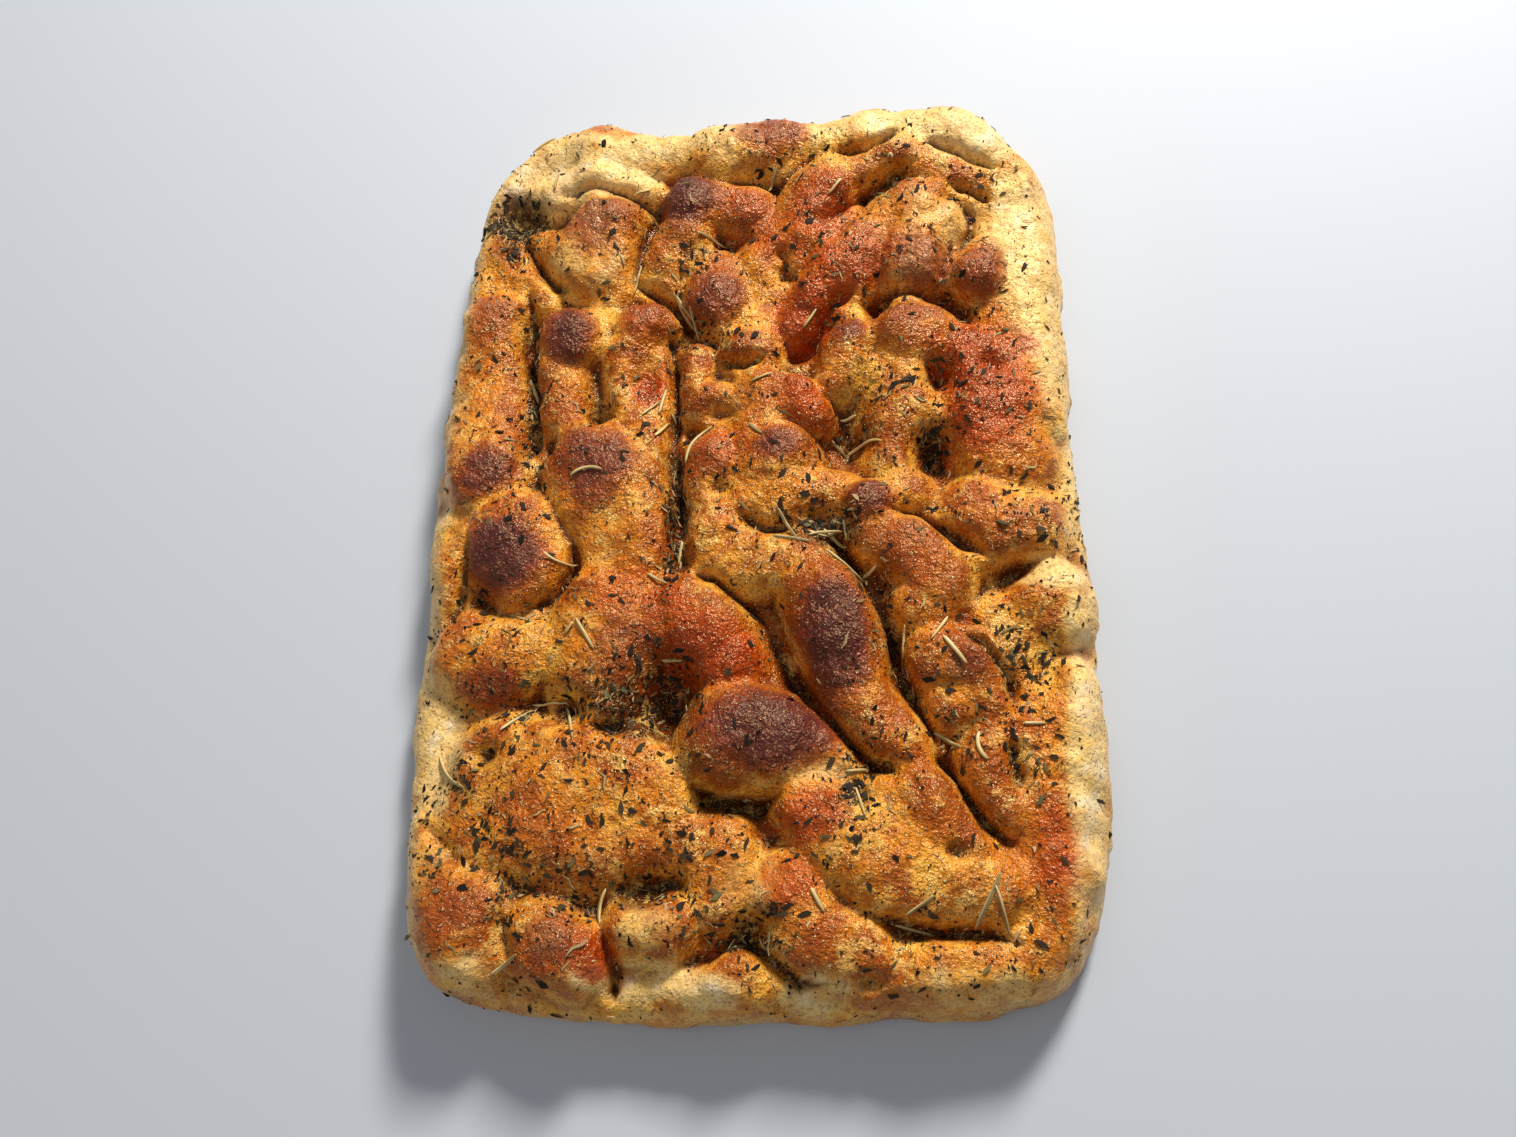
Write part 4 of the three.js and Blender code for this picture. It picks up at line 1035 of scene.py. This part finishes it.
@dataclass
class Loaf:
    """The baked loaf: crust, rounded edge, side wall and flat underside in one closed body."""

    cells_across: int = 110
    cells_along: int = 160
    wall_rows: int = 9
    base_rows: int = 4
    waist_height: float = 8.0
    shoulder: float = 12.0
    tuck: float = 3.0
    half_width: float = 119.0
    half_length: float = 176.0
    hub_size: float = 0.02
    hollow_reach: float = 6.0
    pit_reach: float = 2.2
    blister_count: int = 2600
    lump_seed: int = 7
    stain_seed: int = 19
    blister_seed: int = 5
    waist: Waist = field(default_factory=lambda: Waist(OUTLINE))
    crust: CrustShape = field(default_factory=CrustShape)
    tones: CrustTones = field(default_factory=CrustTones)

    def __post_init__(self) -> None:
        """Finds where the loaf's own middle lies in the frame, and how high its crust is."""
        low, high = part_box("focaccia_loaf")
        centre = (np.array(low) + np.array(high)) / 2
        self.shift = self.waist.middle() - centre[:2] / MM
        self.lumps = Grain(self.lump_seed)
        self.stains = Grain(self.stain_seed)
        self.column, self.row, self.places = self.grid()
        self.raw = self.crust.height(*self.places.T)
        self.hollow = self.blur(self.raw, self.hollow_reach) - self.raw

    def to_frame(self, points: Array) -> Array:
        """Points of the loaf in millimetres, placed in the frame in metres."""
        return (points - np.array([*self.shift, 0.0])) * MM

    def grid(self) -> tuple[Array, Array, Array]:
        """The crust's grid, stretched so that its square rings follow the outline.

        Returns:
            Column numbers, row numbers and rows of x, y, both from corner to corner.
        """
        columns = np.arange(-self.cells_across, self.cells_across + 1)
        rows = np.arange(-self.cells_along, self.cells_along + 1)
        column, row = (a.ravel() for a in np.meshgrid(columns, rows))
        u = column / self.cells_across
        v = row / self.cells_along
        angle = np.arctan2(v * self.half_length, u * self.half_width)
        reach = np.maximum(np.abs(u), np.abs(v)) * self.waist.radius(angle)
        return column, row, np.stack([reach * np.cos(angle), reach * np.sin(angle)], axis=1)

    def border(self) -> Array:
        """Vertex numbers round the grid's edge, counter-clockwise seen from above."""
        index = np.arange(len(self.places)).reshape(2 * self.cells_along + 1, -1)
        return np.concatenate([index[0, :-1], index[:-1, -1], index[-1, :0:-1], index[:0:-1, 0]])

    def faces(self, border: Array, start: int, rings: int) -> Array:
        """Quads of the crust grid, and of the rings below it.

        Args:
            border: Vertex numbers of the crust's edge.
            start: The first vertex number of the rings.
            rings: How many rings there are.

        Returns:
            Rows of four vertex numbers, facing out.
        """
        wide = 2 * self.cells_across + 1
        index = np.arange(start).reshape(-1, wide)
        corners = [index[:-1, :-1], index[:-1, 1:], index[1:, 1:], index[1:, :-1]]
        quads = [np.stack([c.ravel() for c in corners], axis=1)]
        upper = border
        for ring in range(rings):
            lower = start + ring * len(border) + np.arange(len(border))
            quads.append(np.stack([lower, np.roll(lower, -1), np.roll(upper, -1), upper], axis=1))
            upper = lower
        return np.concatenate(quads)

    def blur(self, heights: Array, cells: float) -> Array:
        """Smooths heights on the crust grid.

        Args:
            heights: A height for each vertex of the grid.
            cells: How many cells it smooths over.

        Returns:
            The smoothed heights.
        """
        reach = int(3 * cells)
        kernel = np.exp(-0.5 * (np.arange(-reach, reach + 1) / cells) ** 2)
        kernel /= kernel.sum()
        square = np.pad(heights.reshape(2 * self.cells_along + 1, -1), reach, mode="edge")
        across = sum(k * square[:, i : square.shape[1] - 2 * reach + i] for i, k in enumerate(kernel))
        both = sum(k * across[i : across.shape[0] - 2 * reach + i] for i, k in enumerate(kernel))
        return both.ravel()

    def patches(self, points: Array, patches: Sequence[Patch], ragged: float) -> Array:
        """How much each point is covered by soft ovals with ragged edges.

        Args:
            points: Rows of x, y, z in millimetres.
            patches: The ovals.
            ragged: How uneven their edges are.

        Returns:
            Cover from 0 to 1.
        """
        wobble = self.stains.layered(points, 9.0, 3) * ragged
        cover = np.zeros(len(points))
        for patch in patches:
            u2 = ((points[:, 0] - patch.x) / patch.rx) ** 2 + ((points[:, 1] - patch.y) / patch.ry) ** 2
            one = patch.strength * (1.0 - smoothstep(0.0, 3.0, u2 + wobble))
            cover = 1.0 - (1.0 - cover) * (1.0 - np.clip(one, 0.0, 1.0))
        return cover

    def blisters(self, points: Array, crust: Array, burn: Array) -> Array:
        """Small raised blisters, most on the burnt tops.

        Args:
            points: Rows of x, y, z in millimetres.
            crust: Which rows are on the crust.
            burn: How burnt each row is.

        Returns:
            Height to add at each row, in millimetres.
        """
        chance = np.where(crust, 0.25 + 3.0 * burn, 0.0)
        dice = np.random.default_rng(self.blister_seed)
        rise = np.zeros(len(points))
        for middle in dice.choice(len(points), self.blister_count, replace=False, p=chance / chance.sum()):
            radius = dice.uniform(1.2, 3.0) * (1.0 if burn[middle] > 0.3 else 0.8)
            high = dice.uniform(0.25, 0.7) * radius / 2.4
            near = np.abs(points - points[middle]).max(axis=1) < radius
            u2 = ((points[near] - points[middle]) ** 2).sum(axis=1) / radius**2
            rise[near] = np.maximum(rise[near], high * np.clip(1.0 - u2, 0.0, 1.0) ** 0.6)
        return rise

    def crust_rows(self) -> Array:
        """The crust's grid with its heights, rounded over to the waist at the edge.

        Returns:
            Rows of x, y, z in millimetres.
        """
        inset = np.clip(self.waist.inset(*self.places.T), 0.0, None)
        t = np.clip(inset / self.shoulder, 0.0, 1.0)
        z = self.waist_height + (self.raw - self.waist_height) * np.sqrt(1.0 - (1.0 - t) ** 2)
        return np.column_stack([self.places, z])

    def side_rings(self, column: Array, row: Array) -> list[Array]:
        """The rings of the side wall, down from the waist, and of the underside, in to its middle.

        Args:
            column: Column number of each vertex of the crust's edge.
            row: Row number of each of them.

        Returns:
            Rows of x, y, z in millimetres for each ring.
        """
        edge_y = row / self.cells_along * self.half_length
        edge_x = column / self.cells_across * self.half_width
        edge = np.arctan2(edge_y, edge_x)
        rings = []
        for step in range(1, self.wall_rows + 1):
            turn = step / self.wall_rows * math.pi / 2
            inward = self.tuck * (1 - math.cos(turn)) / self.waist.facing(edge)
            reach = self.waist.radius(edge) - inward
            level = self.waist_height * (1 - math.sin(turn))
            ring = [reach * np.cos(edge), reach * np.sin(edge), np.full(len(edge), level)]
            rings.append(np.column_stack(ring))
        base = rings[-1]
        for step in range(1, self.base_rows + 1):
            share = 1 - step / (self.base_rows + self.hub_size)
            rings.append(base * [share, share, 0])
        return rings

    def relief(self, points: Array, crust: Array) -> Array:
        """Small lumps all over, larger ones along the rim, and the ridges of crumpled skins.

        Args:
            points: Rows of x, y, z in millimetres.
            crust: Which rows are on the crust.

        Returns:
            Height to add at each row, in millimetres.
        """
        lumps = self.lumps.at(points, 12.0) + self.lumps.at(points + 50, 5.5) * 0.5
        lumps += self.lumps.at(points + 90, 2.6) * 0.2
        rim = 1.0 - smoothstep(2.0, 16.0, self.waist.inset(points[:, 0], points[:, 1]))
        lumps += self.lumps.at(points + 130, 22.0) * 1.9 * rim + self.lumps.at(points + 170, 9.0) * 0.8 * rim
        papery = self.patches(points, PAPERY, 0.3) * crust
        wrinkles = self.lumps.at(points * [1.0, 1.8, 1.0] + 210, 6.5)
        wrinkles += 0.3 * self.lumps.at(points + 250, 3.0)
        crumple = np.exp(-np.abs(wrinkles) * 7.0)
        return lumps + papery * (0.5 + crumple * 1.6)

    def build(self, material: bpy.types.Material) -> Any:
        """Builds and paints the loaf.

        Args:
            material: The crust material.

        Returns:
            The loaf object.
        """
        border = self.border()
        top = self.crust_rows()
        rings = self.side_rings(self.column[border], self.row[border])
        faces = self.faces(border, len(top), len(rings))
        points = np.vstack([top, *rings, [0, 0, 0]])
        hub = len(points) - 1
        inner = hub - len(border) + np.arange(len(border))

        crust = np.arange(len(points)) < len(top)
        burn = self.patches(points, BURNT, 0.45) * crust
        normals = self.normals(points, faces)
        soft = smoothstep(0.0, 4.0, points[:, 2])
        rise = self.relief(points, crust) * soft + self.blisters(points, crust, burn) * soft
        points = points + normals * rise[:, None]
        points[:, 2] = np.maximum(points[:, 2], 0.0)

        below = np.zeros(len(points) - len(top))
        hollow = np.concatenate([self.hollow, below])
        pit = np.concatenate([self.blur(self.raw, self.pit_reach) - self.raw, below])
        piece = new_piece("loaf", self.to_frame(points), faces, material)
        self.close_base(piece, inner, np.full(len(inner), hub))
        self.paint(piece, points, crust, burn, hollow, pit)
        return piece

    def close_base(self, piece: Any, inner: Array, hub: Array) -> None:
        """Fills the small ring left in the middle of the underside with triangles.

        Args:
            piece: The loaf object.
            inner: Vertex numbers of the innermost ring.
            hub: The middle vertex's number, once for each of them.
        """
        fan = np.column_stack([np.roll(inner, -1), inner, hub])
        mesh = piece.data
        first = len(mesh.loops)
        count = len(mesh.polygons)
        mesh.loops.add(fan.size)
        mesh.polygons.add(len(fan))
        indices = np.empty(len(mesh.loops), dtype=np.int32)
        mesh.loops.foreach_get("vertex_index", indices)
        indices[first:] = fan.ravel()
        mesh.loops.foreach_set("vertex_index", indices)
        starts = np.empty(len(mesh.polygons), dtype=np.int32)
        mesh.polygons.foreach_get("loop_start", starts)
        starts[count:] = first + 3 * np.arange(len(fan))
        mesh.polygons.foreach_set("loop_start", starts)
        mesh.polygons.foreach_set("use_smooth", np.ones(len(mesh.polygons), dtype=bool))
        mesh.update(calc_edges=True)
        mesh.validate()

    def normals(self, points: Array, faces: Array) -> Array:
        """Unit normals at the vertices.

        Args:
            points: Rows of x, y, z, the last of them the middle of the underside.
            faces: Rows of four vertex numbers.

        Returns:
            A normal for each row of points.
        """
        a, b, c, d = (points[faces[:, k]] for k in range(4))
        face = np.cross(c - a, d - b)
        total = np.zeros(points.shape)
        for k in range(4):
            for axis in range(3):
                total[:, axis] += np.bincount(faces[:, k], face[:, axis], len(points))
        total[-1] = [0, 0, -1]
        return total / np.maximum(np.linalg.norm(total, axis=1, keepdims=True), 1e-9)

    def paint(self, piece: Any, points: Array, crust: Array, burn: Array, hollow: Array, pit: Array) -> None:
        """Paints the crust's colours and masks.

        Args:
            piece: The loaf object.
            points: Rows of x, y, z in millimetres.
            crust: Which rows are on the crust.
            burn: How burnt each row is.
            hollow: How far each row lies below the crust round it.
            pit: The same for small pits and creases.
        """
        tones = {key: srgb(code) for key, code in vars(self.tones).items()}
        cloud = self.stains.layered(points + 200, 16.0, 3)
        fleck = self.stains.layered(points + 300, 4.5, 2)
        inset = self.waist.inset(points[:, 0], points[:, 1])
        rim = 1.0 - smoothstep(3.0, 17.0, inset + cloud * 4.0)
        near_edge = smoothstep(-120.0, -165.0, points[:, 1] + cloud * 12.0)
        pale = np.maximum(self.patches(points, PALE, 0.35), rim * (0.85 - 0.4 * near_edge))
        paprika = self.patches(points, PAPRIKA, 0.5)
        papery = self.patches(points, PAPERY, 0.3) * crust

        colour = np.tile(tones["golden"], (len(points), 1))
        colour = blend(colour, tones["yellow"], smoothstep(-0.2, 0.8, cloud + fleck * 0.5) * 0.9)
        colour = blend(colour, tones["amber"], smoothstep(-0.1, 0.8, -cloud + fleck * 0.6) * 0.85)
        low = smoothstep(-0.6, 1.4, hollow + fleck * 0.8)
        colour = blend(colour, tones["yellow"], low * 0.5)
        crest = smoothstep(0.0, 3.0, -hollow + fleck * 1.4) * (1.0 - pale * 0.8)
        colour = blend(colour, tones["brown"], crest * 0.8)
        colour = blend(colour, tones["pale"], smoothstep(0.15, 0.85, pale + fleck * 0.2) * 0.95)
        colour = blend(colour, tones["cream"], smoothstep(0.85, 1.3, pale + fleck * 0.25) * 0.8)
        colour = blend(colour, tones["oily"], smoothstep(1.4, 4.4, hollow) * 0.85)
        # Painted shade darkens the creases and pits. Under herb clumps the same dark colour is partly a
        # stain from the herbs and partly painted shadow under them.
        painted_crease_shade = smoothstep(0.8, 3.6, pit + hollow * 0.2) * 0.92
        crease_shade_and_clump_stain = np.maximum(painted_crease_shade, self.patches(points, CLUMPS, 0.4) * 0.9)
        colour = blend(colour, tones["crease"], crease_shade_and_clump_stain * crust)
        under = ~crust & (points[:, 2] < 1.0)
        colour[under] = blend(colour, tones["base"], np.full(len(points), 0.8))[under]

        paint_colour(piece, "tone", linear(colour))
        paint_value(piece, "burn", burn)
        paint_value(piece, "papery", papery)
        paint_value(piece, "paprika", paprika)
        paint_value(piece, "pale", np.clip(pale, 0.0, 1.0))
        paint_value(piece, "hollow", smoothstep(0.5, 4.0, hollow))


# ---------------------------------------------------------------------------------------------------
# Herbs
# ---------------------------------------------------------------------------------------------------


@dataclass
class Surface:
    """The finished crust, to lay things on."""

    loaf: Loaf
    piece: Any

    def __post_init__(self) -> None:
        """Sorts the crust's faces for quick ray casts."""
        mesh = self.piece.data
        points = [v.co.copy() for v in mesh.vertices]
        self.tree = BVHTree.FromPolygons(points, [tuple(p.vertices) for p in mesh.polygons])

    def below(self, x: float, y: float) -> tuple[Vector, Vector] | None:
        """The crust under a place on the loaf.

        Args:
            x: Across, in the loaf's millimetres.
            y: Along, in the loaf's millimetres.

        Returns:
            The point in metres and its normal, or None off the loaf.
        """
        start = Vector(self.loaf.to_frame(np.array([x, y, 100.0])))
        point, normal, _, _ = self.tree.ray_cast(start, Vector((0, 0, -1)))
        return None if point is None else (point, normal)


class Flake(NamedTuple):
    """A sort of flake: how many, least and most length in millimetres, width over length, and finish."""

    count: int
    least: float
    most: float
    slim: float
    finish: HerbFinish


class FlakeKind(Enum):
    """Kinds of herb flake."""

    SPECK = Flake(3400, 0.5, 1.5, 0.6, HerbFinish("leaf_speck", "120b06", "3a2414"))
    DARK = Flake(2200, 1.0, 4.8, 0.38, HerbFinish("dark_leaf", "120d08", "4a3a24"))
    OLIVE = Flake(520, 1.2, 4.6, 0.34, HerbFinish("olive_leaf", "38321c", "86784a"))
    TAN = Flake(850, 1.0, 4.0, 0.26, HerbFinish("tan_stalk", "8a6032", "e2c088"))
    STALK = Flake(260, 4.0, 8.5, 0.11, HerbFinish("thin_stalk", "6a5528", "cbb27a"))


@dataclass
class HerbFlakes:
    """Crushed dried herbs scattered over the crust, thickest in the dimples and folds."""

    surface: Surface
    thickness: float = 0.2
    gap: float = 0.12
    jitter: float = 0.7
    tilt: float = 0.22
    first_seed: int = 60

    def __post_init__(self) -> None:
        """Works out how likely a flake is to lie at each place on the crust."""
        loaf = self.surface.loaf
        points = np.column_stack([loaf.places, np.zeros(len(loaf.places))])
        herby = loaf.patches(points, HERBY, 0.5)
        burnt = loaf.patches(points, BURNT, 0.3)
        clumps = loaf.patches(points, CLUMPS, 0.4)
        sunk = smoothstep(0.0, 3.0, loaf.hollow)
        bare = np.maximum(0.75 * burnt, 0.6 * loaf.patches(points, PALE, 0.3))
        likely = (0.13 + 0.4 * herby + 0.4 * sunk * (0.2 + herby)) * (1.0 - bare) + 3.4 * clumps
        likely *= 0.35 + 1.3 * smoothstep(-0.35, 0.45, loaf.stains.layered(points + 400, 14.0, 3))
        likely *= smoothstep(0.5, 2.5, loaf.waist.inset(*loaf.places.T))
        self.chance = likely / likely.sum()

    def spots(self, count: int, dice: np.random.Generator) -> Array:
        """Chooses places for flakes.

        Args:
            count: How many are wanted.
            dice: The random source.

        Returns:
            Rows of x, y in the loaf's millimetres.
        """
        places = self.surface.loaf.places
        chosen = dice.choice(len(places), count, p=self.chance)
        return places[chosen] + dice.uniform(-self.jitter, self.jitter, (count, 2))

    def flake(self, kind: FlakeKind, dice: np.random.Generator) -> tuple[Array, Array]:
        """One curled flake about its own middle.

        Args:
            kind: The kind of flake.
            dice: The random source.

        Returns:
            Rows of x, y, z in millimetres, and rows of four vertex numbers.
        """
        sort = kind.value
        length = sort.least + (sort.most - sort.least) * dice.random() ** 2.2
        width = length * sort.slim * dice.uniform(0.7, 1.4)
        curl = dice.uniform(-0.10, 0.22) / length
        along = np.array([-0.5, -0.2, 0.15, 0.5]) * length
        half = np.array([0.15, dice.uniform(0.8, 1.0), dice.uniform(0.6, 1.0), 0.08]) * width / 2
        skew = dice.normal(0, 0.08 * length, 4)
        rows = []
        for i in range(4):
            lift = curl * along[i] ** 2
            for side, up in ((-1, 0), (1, 0), (1, 1), (-1, 1)):
                fold = 0.25 * abs(half[i])
                rows.append([along[i], skew[i] + side * half[i], lift + fold + up * self.thickness])
        faces = [[0, 3, 2, 1], [12, 13, 14, 15]]
        for i in range(3):
            a, b = 4 * i, 4 * i + 4
            for k in range(4):
                n = (k + 1) % 4
                faces.append([a + k, a + n, b + n, b + k])
        return np.array(rows), np.array(faces)

    def build(self, kind: FlakeKind, index: int) -> Any:
        """Scatters all flakes of one kind as one piece.

        Args:
            kind: The kind of flake.
            index: Its number, from 0, which picks the scatter.

        Returns:
            The object.
        """
        dice = np.random.default_rng(self.first_seed + index)
        points, faces, shades = [], [], []
        total = 0
        for x, y in self.spots(kind.value.count, dice):
            hit = self.surface.below(x, y)
            if hit is None:
                continue
            place, normal = hit
            leaf, quads = self.flake(kind, dice)
            tilt = normal + Vector(dice.normal(0, self.tilt, 3))
            spin = Matrix.Rotation(dice.uniform(0, 2 * math.pi), 3, "Z")
            turn = tilt.to_track_quat("Z", "Y").to_matrix() @ spin
            points.append(leaf @ np.array(turn).T * MM + np.array(place + normal * (self.gap * MM)))
            faces.append(quads + total)
            shades.append(np.full(len(leaf), dice.random()))
            total += len(leaf)
        name = f"herb_flakes_{kind.name.lower()}"
        material = kind.value.finish.material()
        piece = new_piece(name, np.concatenate(points), np.concatenate(faces), material, False)
        paint_value(piece, "shade", np.concatenate(shades))
        return piece


@dataclass
class RosemaryNeedles:
    """Loose rosemary needles lying on the crust."""

    surface: Surface
    radius: float = 0.58
    stations: int = 14
    sides: int = 8
    steepest: float = 1.2
    sag: float = 0.55
    perch: float = 0.8
    twist: float = 0.8
    groove_depth: float = 0.42
    wide: float = 1.15
    flat: float = 0.8
    first_seed: int = 400

    def heights(self, needle: Needle, along: Array, sideways: Array) -> tuple[Array, Array]:
        """The crust under a needle.

        Args:
            needle: The needle.
            along: Places along it, from 0 to 1.
            sideways: Distance to its left at each place.

        Returns:
            Rows of x, y in the loaf's millimetres, and the crust's height at each.
        """
        start = np.array([needle.x1, needle.y1])
        run = np.array([needle.x2, needle.y2]) - start
        side = np.array([run[1], -run[0]]) / np.hypot(*run)
        places = start + along[:, None] * run + sideways[:, None] * side
        found = [self.surface.below(x, y) for x, y in places]
        return places, np.array([0.0 if hit is None else hit[0].z / MM for hit in found])

    def path(self, needle: Needle) -> Array:
        """The middle line of a needle: a springy stick, half resting and half bent to the crust.

        Args:
            needle: The needle.

        Returns:
            Rows of x, y, z in the loaf's millimetres.
        """
        along = np.linspace(0, 1, self.stations)
        places, ground = self.heights(needle, along, needle.bow * (1 - (2 * along - 1) ** 2))
        length = math.hypot(needle.x2 - needle.x1, needle.y2 - needle.y1)
        tilts = np.linspace(-self.steepest, self.steepest, 121)
        reach = (along - 0.5) * length
        middles = (ground[None, :] - tilts[:, None] * reach[None, :]).max(axis=1)
        best = middles.argmin()
        line = middles[best] + tilts[best] * reach
        bent = line - self.sag * (line - ground)
        for _ in range(3):
            inner = (bent[:-2] + 2 * bent[1:-1] + bent[2:]) / 4
            bent = np.concatenate([bent[:1], inner, bent[-1:]])
        lift = np.maximum(bent, ground) + self.radius * self.perch
        return np.column_stack([places, lift])

    def skin(self, path: Array, girth: Array, roll: Array, turn: Array, dent: Array) -> Array:
        """The needle's surface round its middle line.

        Args:
            path: Rows of x, y, z along the middle line.
            girth: Radius at each of them, in millimetres.
            roll: How far the section is rolled at each of them.
            turn: The directions of the section's corners.
            dent: Reach of each corner, as a part of the radius.

        Returns:
            Rows of x, y, z, section by section.
        """
        rows = []
        for i in range(self.stations):
            ahead = path[min(i + 1, self.stations - 1)] - path[max(i - 1, 0)]
            ahead = ahead / np.linalg.norm(ahead)
            side = np.cross(ahead, [0, 0, 1])
            side = side / np.linalg.norm(side)
            up = np.cross(side, ahead)
            radial = girth[i] * dent
            sideways = np.cos(turn + roll[i]) * radial * self.wide
            upward = np.sin(turn + roll[i]) * radial * self.flat
            rows.append(path[i] + sideways[:, None] * side + upward[:, None] * up)
        return np.concatenate(rows)

    def faces(self) -> Array:
        """Quads of the needle's sides and its two ends.

        Returns:
            Rows of four vertex numbers, facing out.
        """
        ring = np.arange(self.sides)
        quads = []
        for i in range(self.stations - 1):
            a = i * self.sides + ring
            b = a + self.sides
            quads.append(np.stack([a, np.roll(a, -1), np.roll(b, -1), b], axis=1))
        end = (self.stations - 1) * self.sides
        caps = []
        for k in range(self.sides // 2 - 1):
            caps.append([k, self.sides - 1 - k, self.sides - 2 - k, k + 1])
            caps.append([end + k, end + k + 1, end + self.sides - 2 - k, end + self.sides - 1 - k])
        return np.concatenate([*quads, np.array(caps)])

    def build(self, index: int, needle: Needle, material: bpy.types.Material) -> Any:
        """Builds one needle.

        Args:
            index: Its number, from 0.
            needle: Where it lies.
            material: Its material.

        Returns:
            The object.
        """
        dice = np.random.default_rng(self.first_seed + index)
        t = np.linspace(0, 1, self.stations)
        girth = np.minimum(1.0, 0.45 + t * 5.0) * np.sqrt(np.clip(1.0 - ((t - 0.45) / 0.56) ** 4, 0.03, 1.0))
        size = self.radius * dice.uniform(0.8, 1.12)
        turn = np.linspace(0, 2 * math.pi, self.sides, endpoint=False)
        groove = np.exp(-((np.cos(turn) - 1.0) ** 2) * 6.0)
        roll = dice.uniform(0, 2 * math.pi) + self.twist * t
        points = self.skin(self.path(needle), girth * size, roll, turn, 1.0 - self.groove_depth * groove)

        name = f"needle_{index + 1:02d}"
        piece = new_piece(name, self.surface.loaf.to_frame(points), self.faces(), material)
        paint_value(piece, "along", np.repeat(1.0 - t, self.sides))
        paint_value(piece, "groove", np.tile(groove, self.stations))
        paint_value(piece, "shade", np.full(len(points), dice.random()))
        return piece


# ---------------------------------------------------------------------------------------------------
# Studio
# ---------------------------------------------------------------------------------------------------


class Lamp(NamedTuple):
    """A soft square lamp that points at the loaf: its place and side in metres, its watts and colour."""

    name: str
    place: Triple
    side: float
    watts: float
    colour: Triple


LAMPS = (
    Lamp("key", (0.45, 1.15, 0.95), 0.3, 36.0, (1.0, 0.97, 0.92)),
    Lamp("fill", (-0.6, -0.5, 1.4), 1.4, 4.0, (0.93, 0.96, 1.0)),
)


@dataclass
class Studio:
    """Pale floor, soft lights and the camera, whose place is in the loaf's own millimetres."""

    loaf: Loaf
    lens: float = 26.48
    nearest: float = 0.01
    stand: Triple = (43.5, -172.6, 379.7)
    forward: Triple = (-0.1043, 0.3679, -0.9240)
    upward: Triple = (0.0230, 0.9297, 0.3676)
    floor_size: float = 30.0
    floor_gap: float = 0.3
    room_colour: Triple = (0.93, 0.95, 1.0)
    room_strength: float = 0.22

    def camera(self) -> None:
        """Places the camera above the loaf's near end, looking down along it."""
        data = bpy.data.cameras.new("camera")
        data.lens = self.lens
        data.clip_start = self.nearest
        camera = bpy.data.objects.new("camera", data)
        ahead = Vector(self.forward).normalized()
        right = ahead.cross(Vector(self.upward)).normalized()
        above = right.cross(ahead)
        turn = Matrix((right, above, -ahead)).transposed().to_4x4()
        place = self.loaf.to_frame(np.array(self.stand))
        camera.matrix_world = Matrix.Translation(Vector(place)) @ turn
        bpy.context.scene.collection.objects.link(camera)
        bpy.context.scene.camera = camera

    def floor(self) -> None:
        """Lays the floor just under the loaf."""
        half = self.floor_size / 2
        corners = np.array([[-half, -half, 0], [half, -half, 0], [half, half, 0], [-half, half, 0]], float)
        corners[:, 2] = -self.floor_gap * MM
        floor = new_piece("floor", corners, np.array([[0, 1, 2, 3]]), FloorFinish().material())

    def hang(self, lamp: Lamp) -> None:
        """Hangs a lamp.

        Args:
            lamp: The lamp.
        """
        data = bpy.data.lights.new(lamp.name, "AREA")
        data.size = lamp.side
        data.energy = lamp.watts
        data.color = lamp.colour
        holder = bpy.data.objects.new(lamp.name, data)
        holder.location = lamp.place
        holder.rotation_euler = (-Vector(lamp.place)).to_track_quat("-Z", "Y").to_euler()
        bpy.context.scene.collection.objects.link(holder)

    def lights(self) -> None:
        """Hangs the lamps and sets the light of the room."""
        for lamp in LAMPS:
            self.hang(lamp)
        world = bpy.data.worlds.new("room")
        world.use_nodes = True
        background = world.node_tree.nodes["Background"]
        background.inputs["Color"].default_value = (*self.room_colour, 1.0)
        background.inputs["Strength"].default_value = self.room_strength
        bpy.context.scene.world = world

    def build(self) -> None:
        """Sets the whole studio up."""
        self.camera()
        self.floor()
        self.lights()
        bpy.context.scene.view_settings.view_transform = "Standard"


def main() -> None:
    """Builds the loaf, its herbs and the studio."""
    logging.basicConfig(level=logging.INFO, format="%(name)s: %(message)s")
    loaf = Loaf()
    body = loaf.build(CrustFinish().material())
    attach(body, "root")
    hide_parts("focaccia_loaf")
    log.info("%s: %d faces", body.name, len(body.data.polygons))

    surface = Surface(loaf, body)
    needles = RosemaryNeedles(surface)
    leaf = RosemaryFinish().material()
    for index, needle in enumerate(NEEDLES):
        piece = needles.build(index, needle, leaf)
        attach(piece, "root")
        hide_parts(f"rosemary_needle_{index + 1:02d}")
        log.info("%s: %d faces", piece.name, len(piece.data.polygons))

    flakes = HerbFlakes(surface)
    for index, kind in enumerate(FlakeKind):
        piece = flakes.build(kind, index)
        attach(piece, "root")
        log.info("%s: %d faces", piece.name, len(piece.data.polygons))

    Studio(loaf).build()


if __name__ == "__main__":
    main()
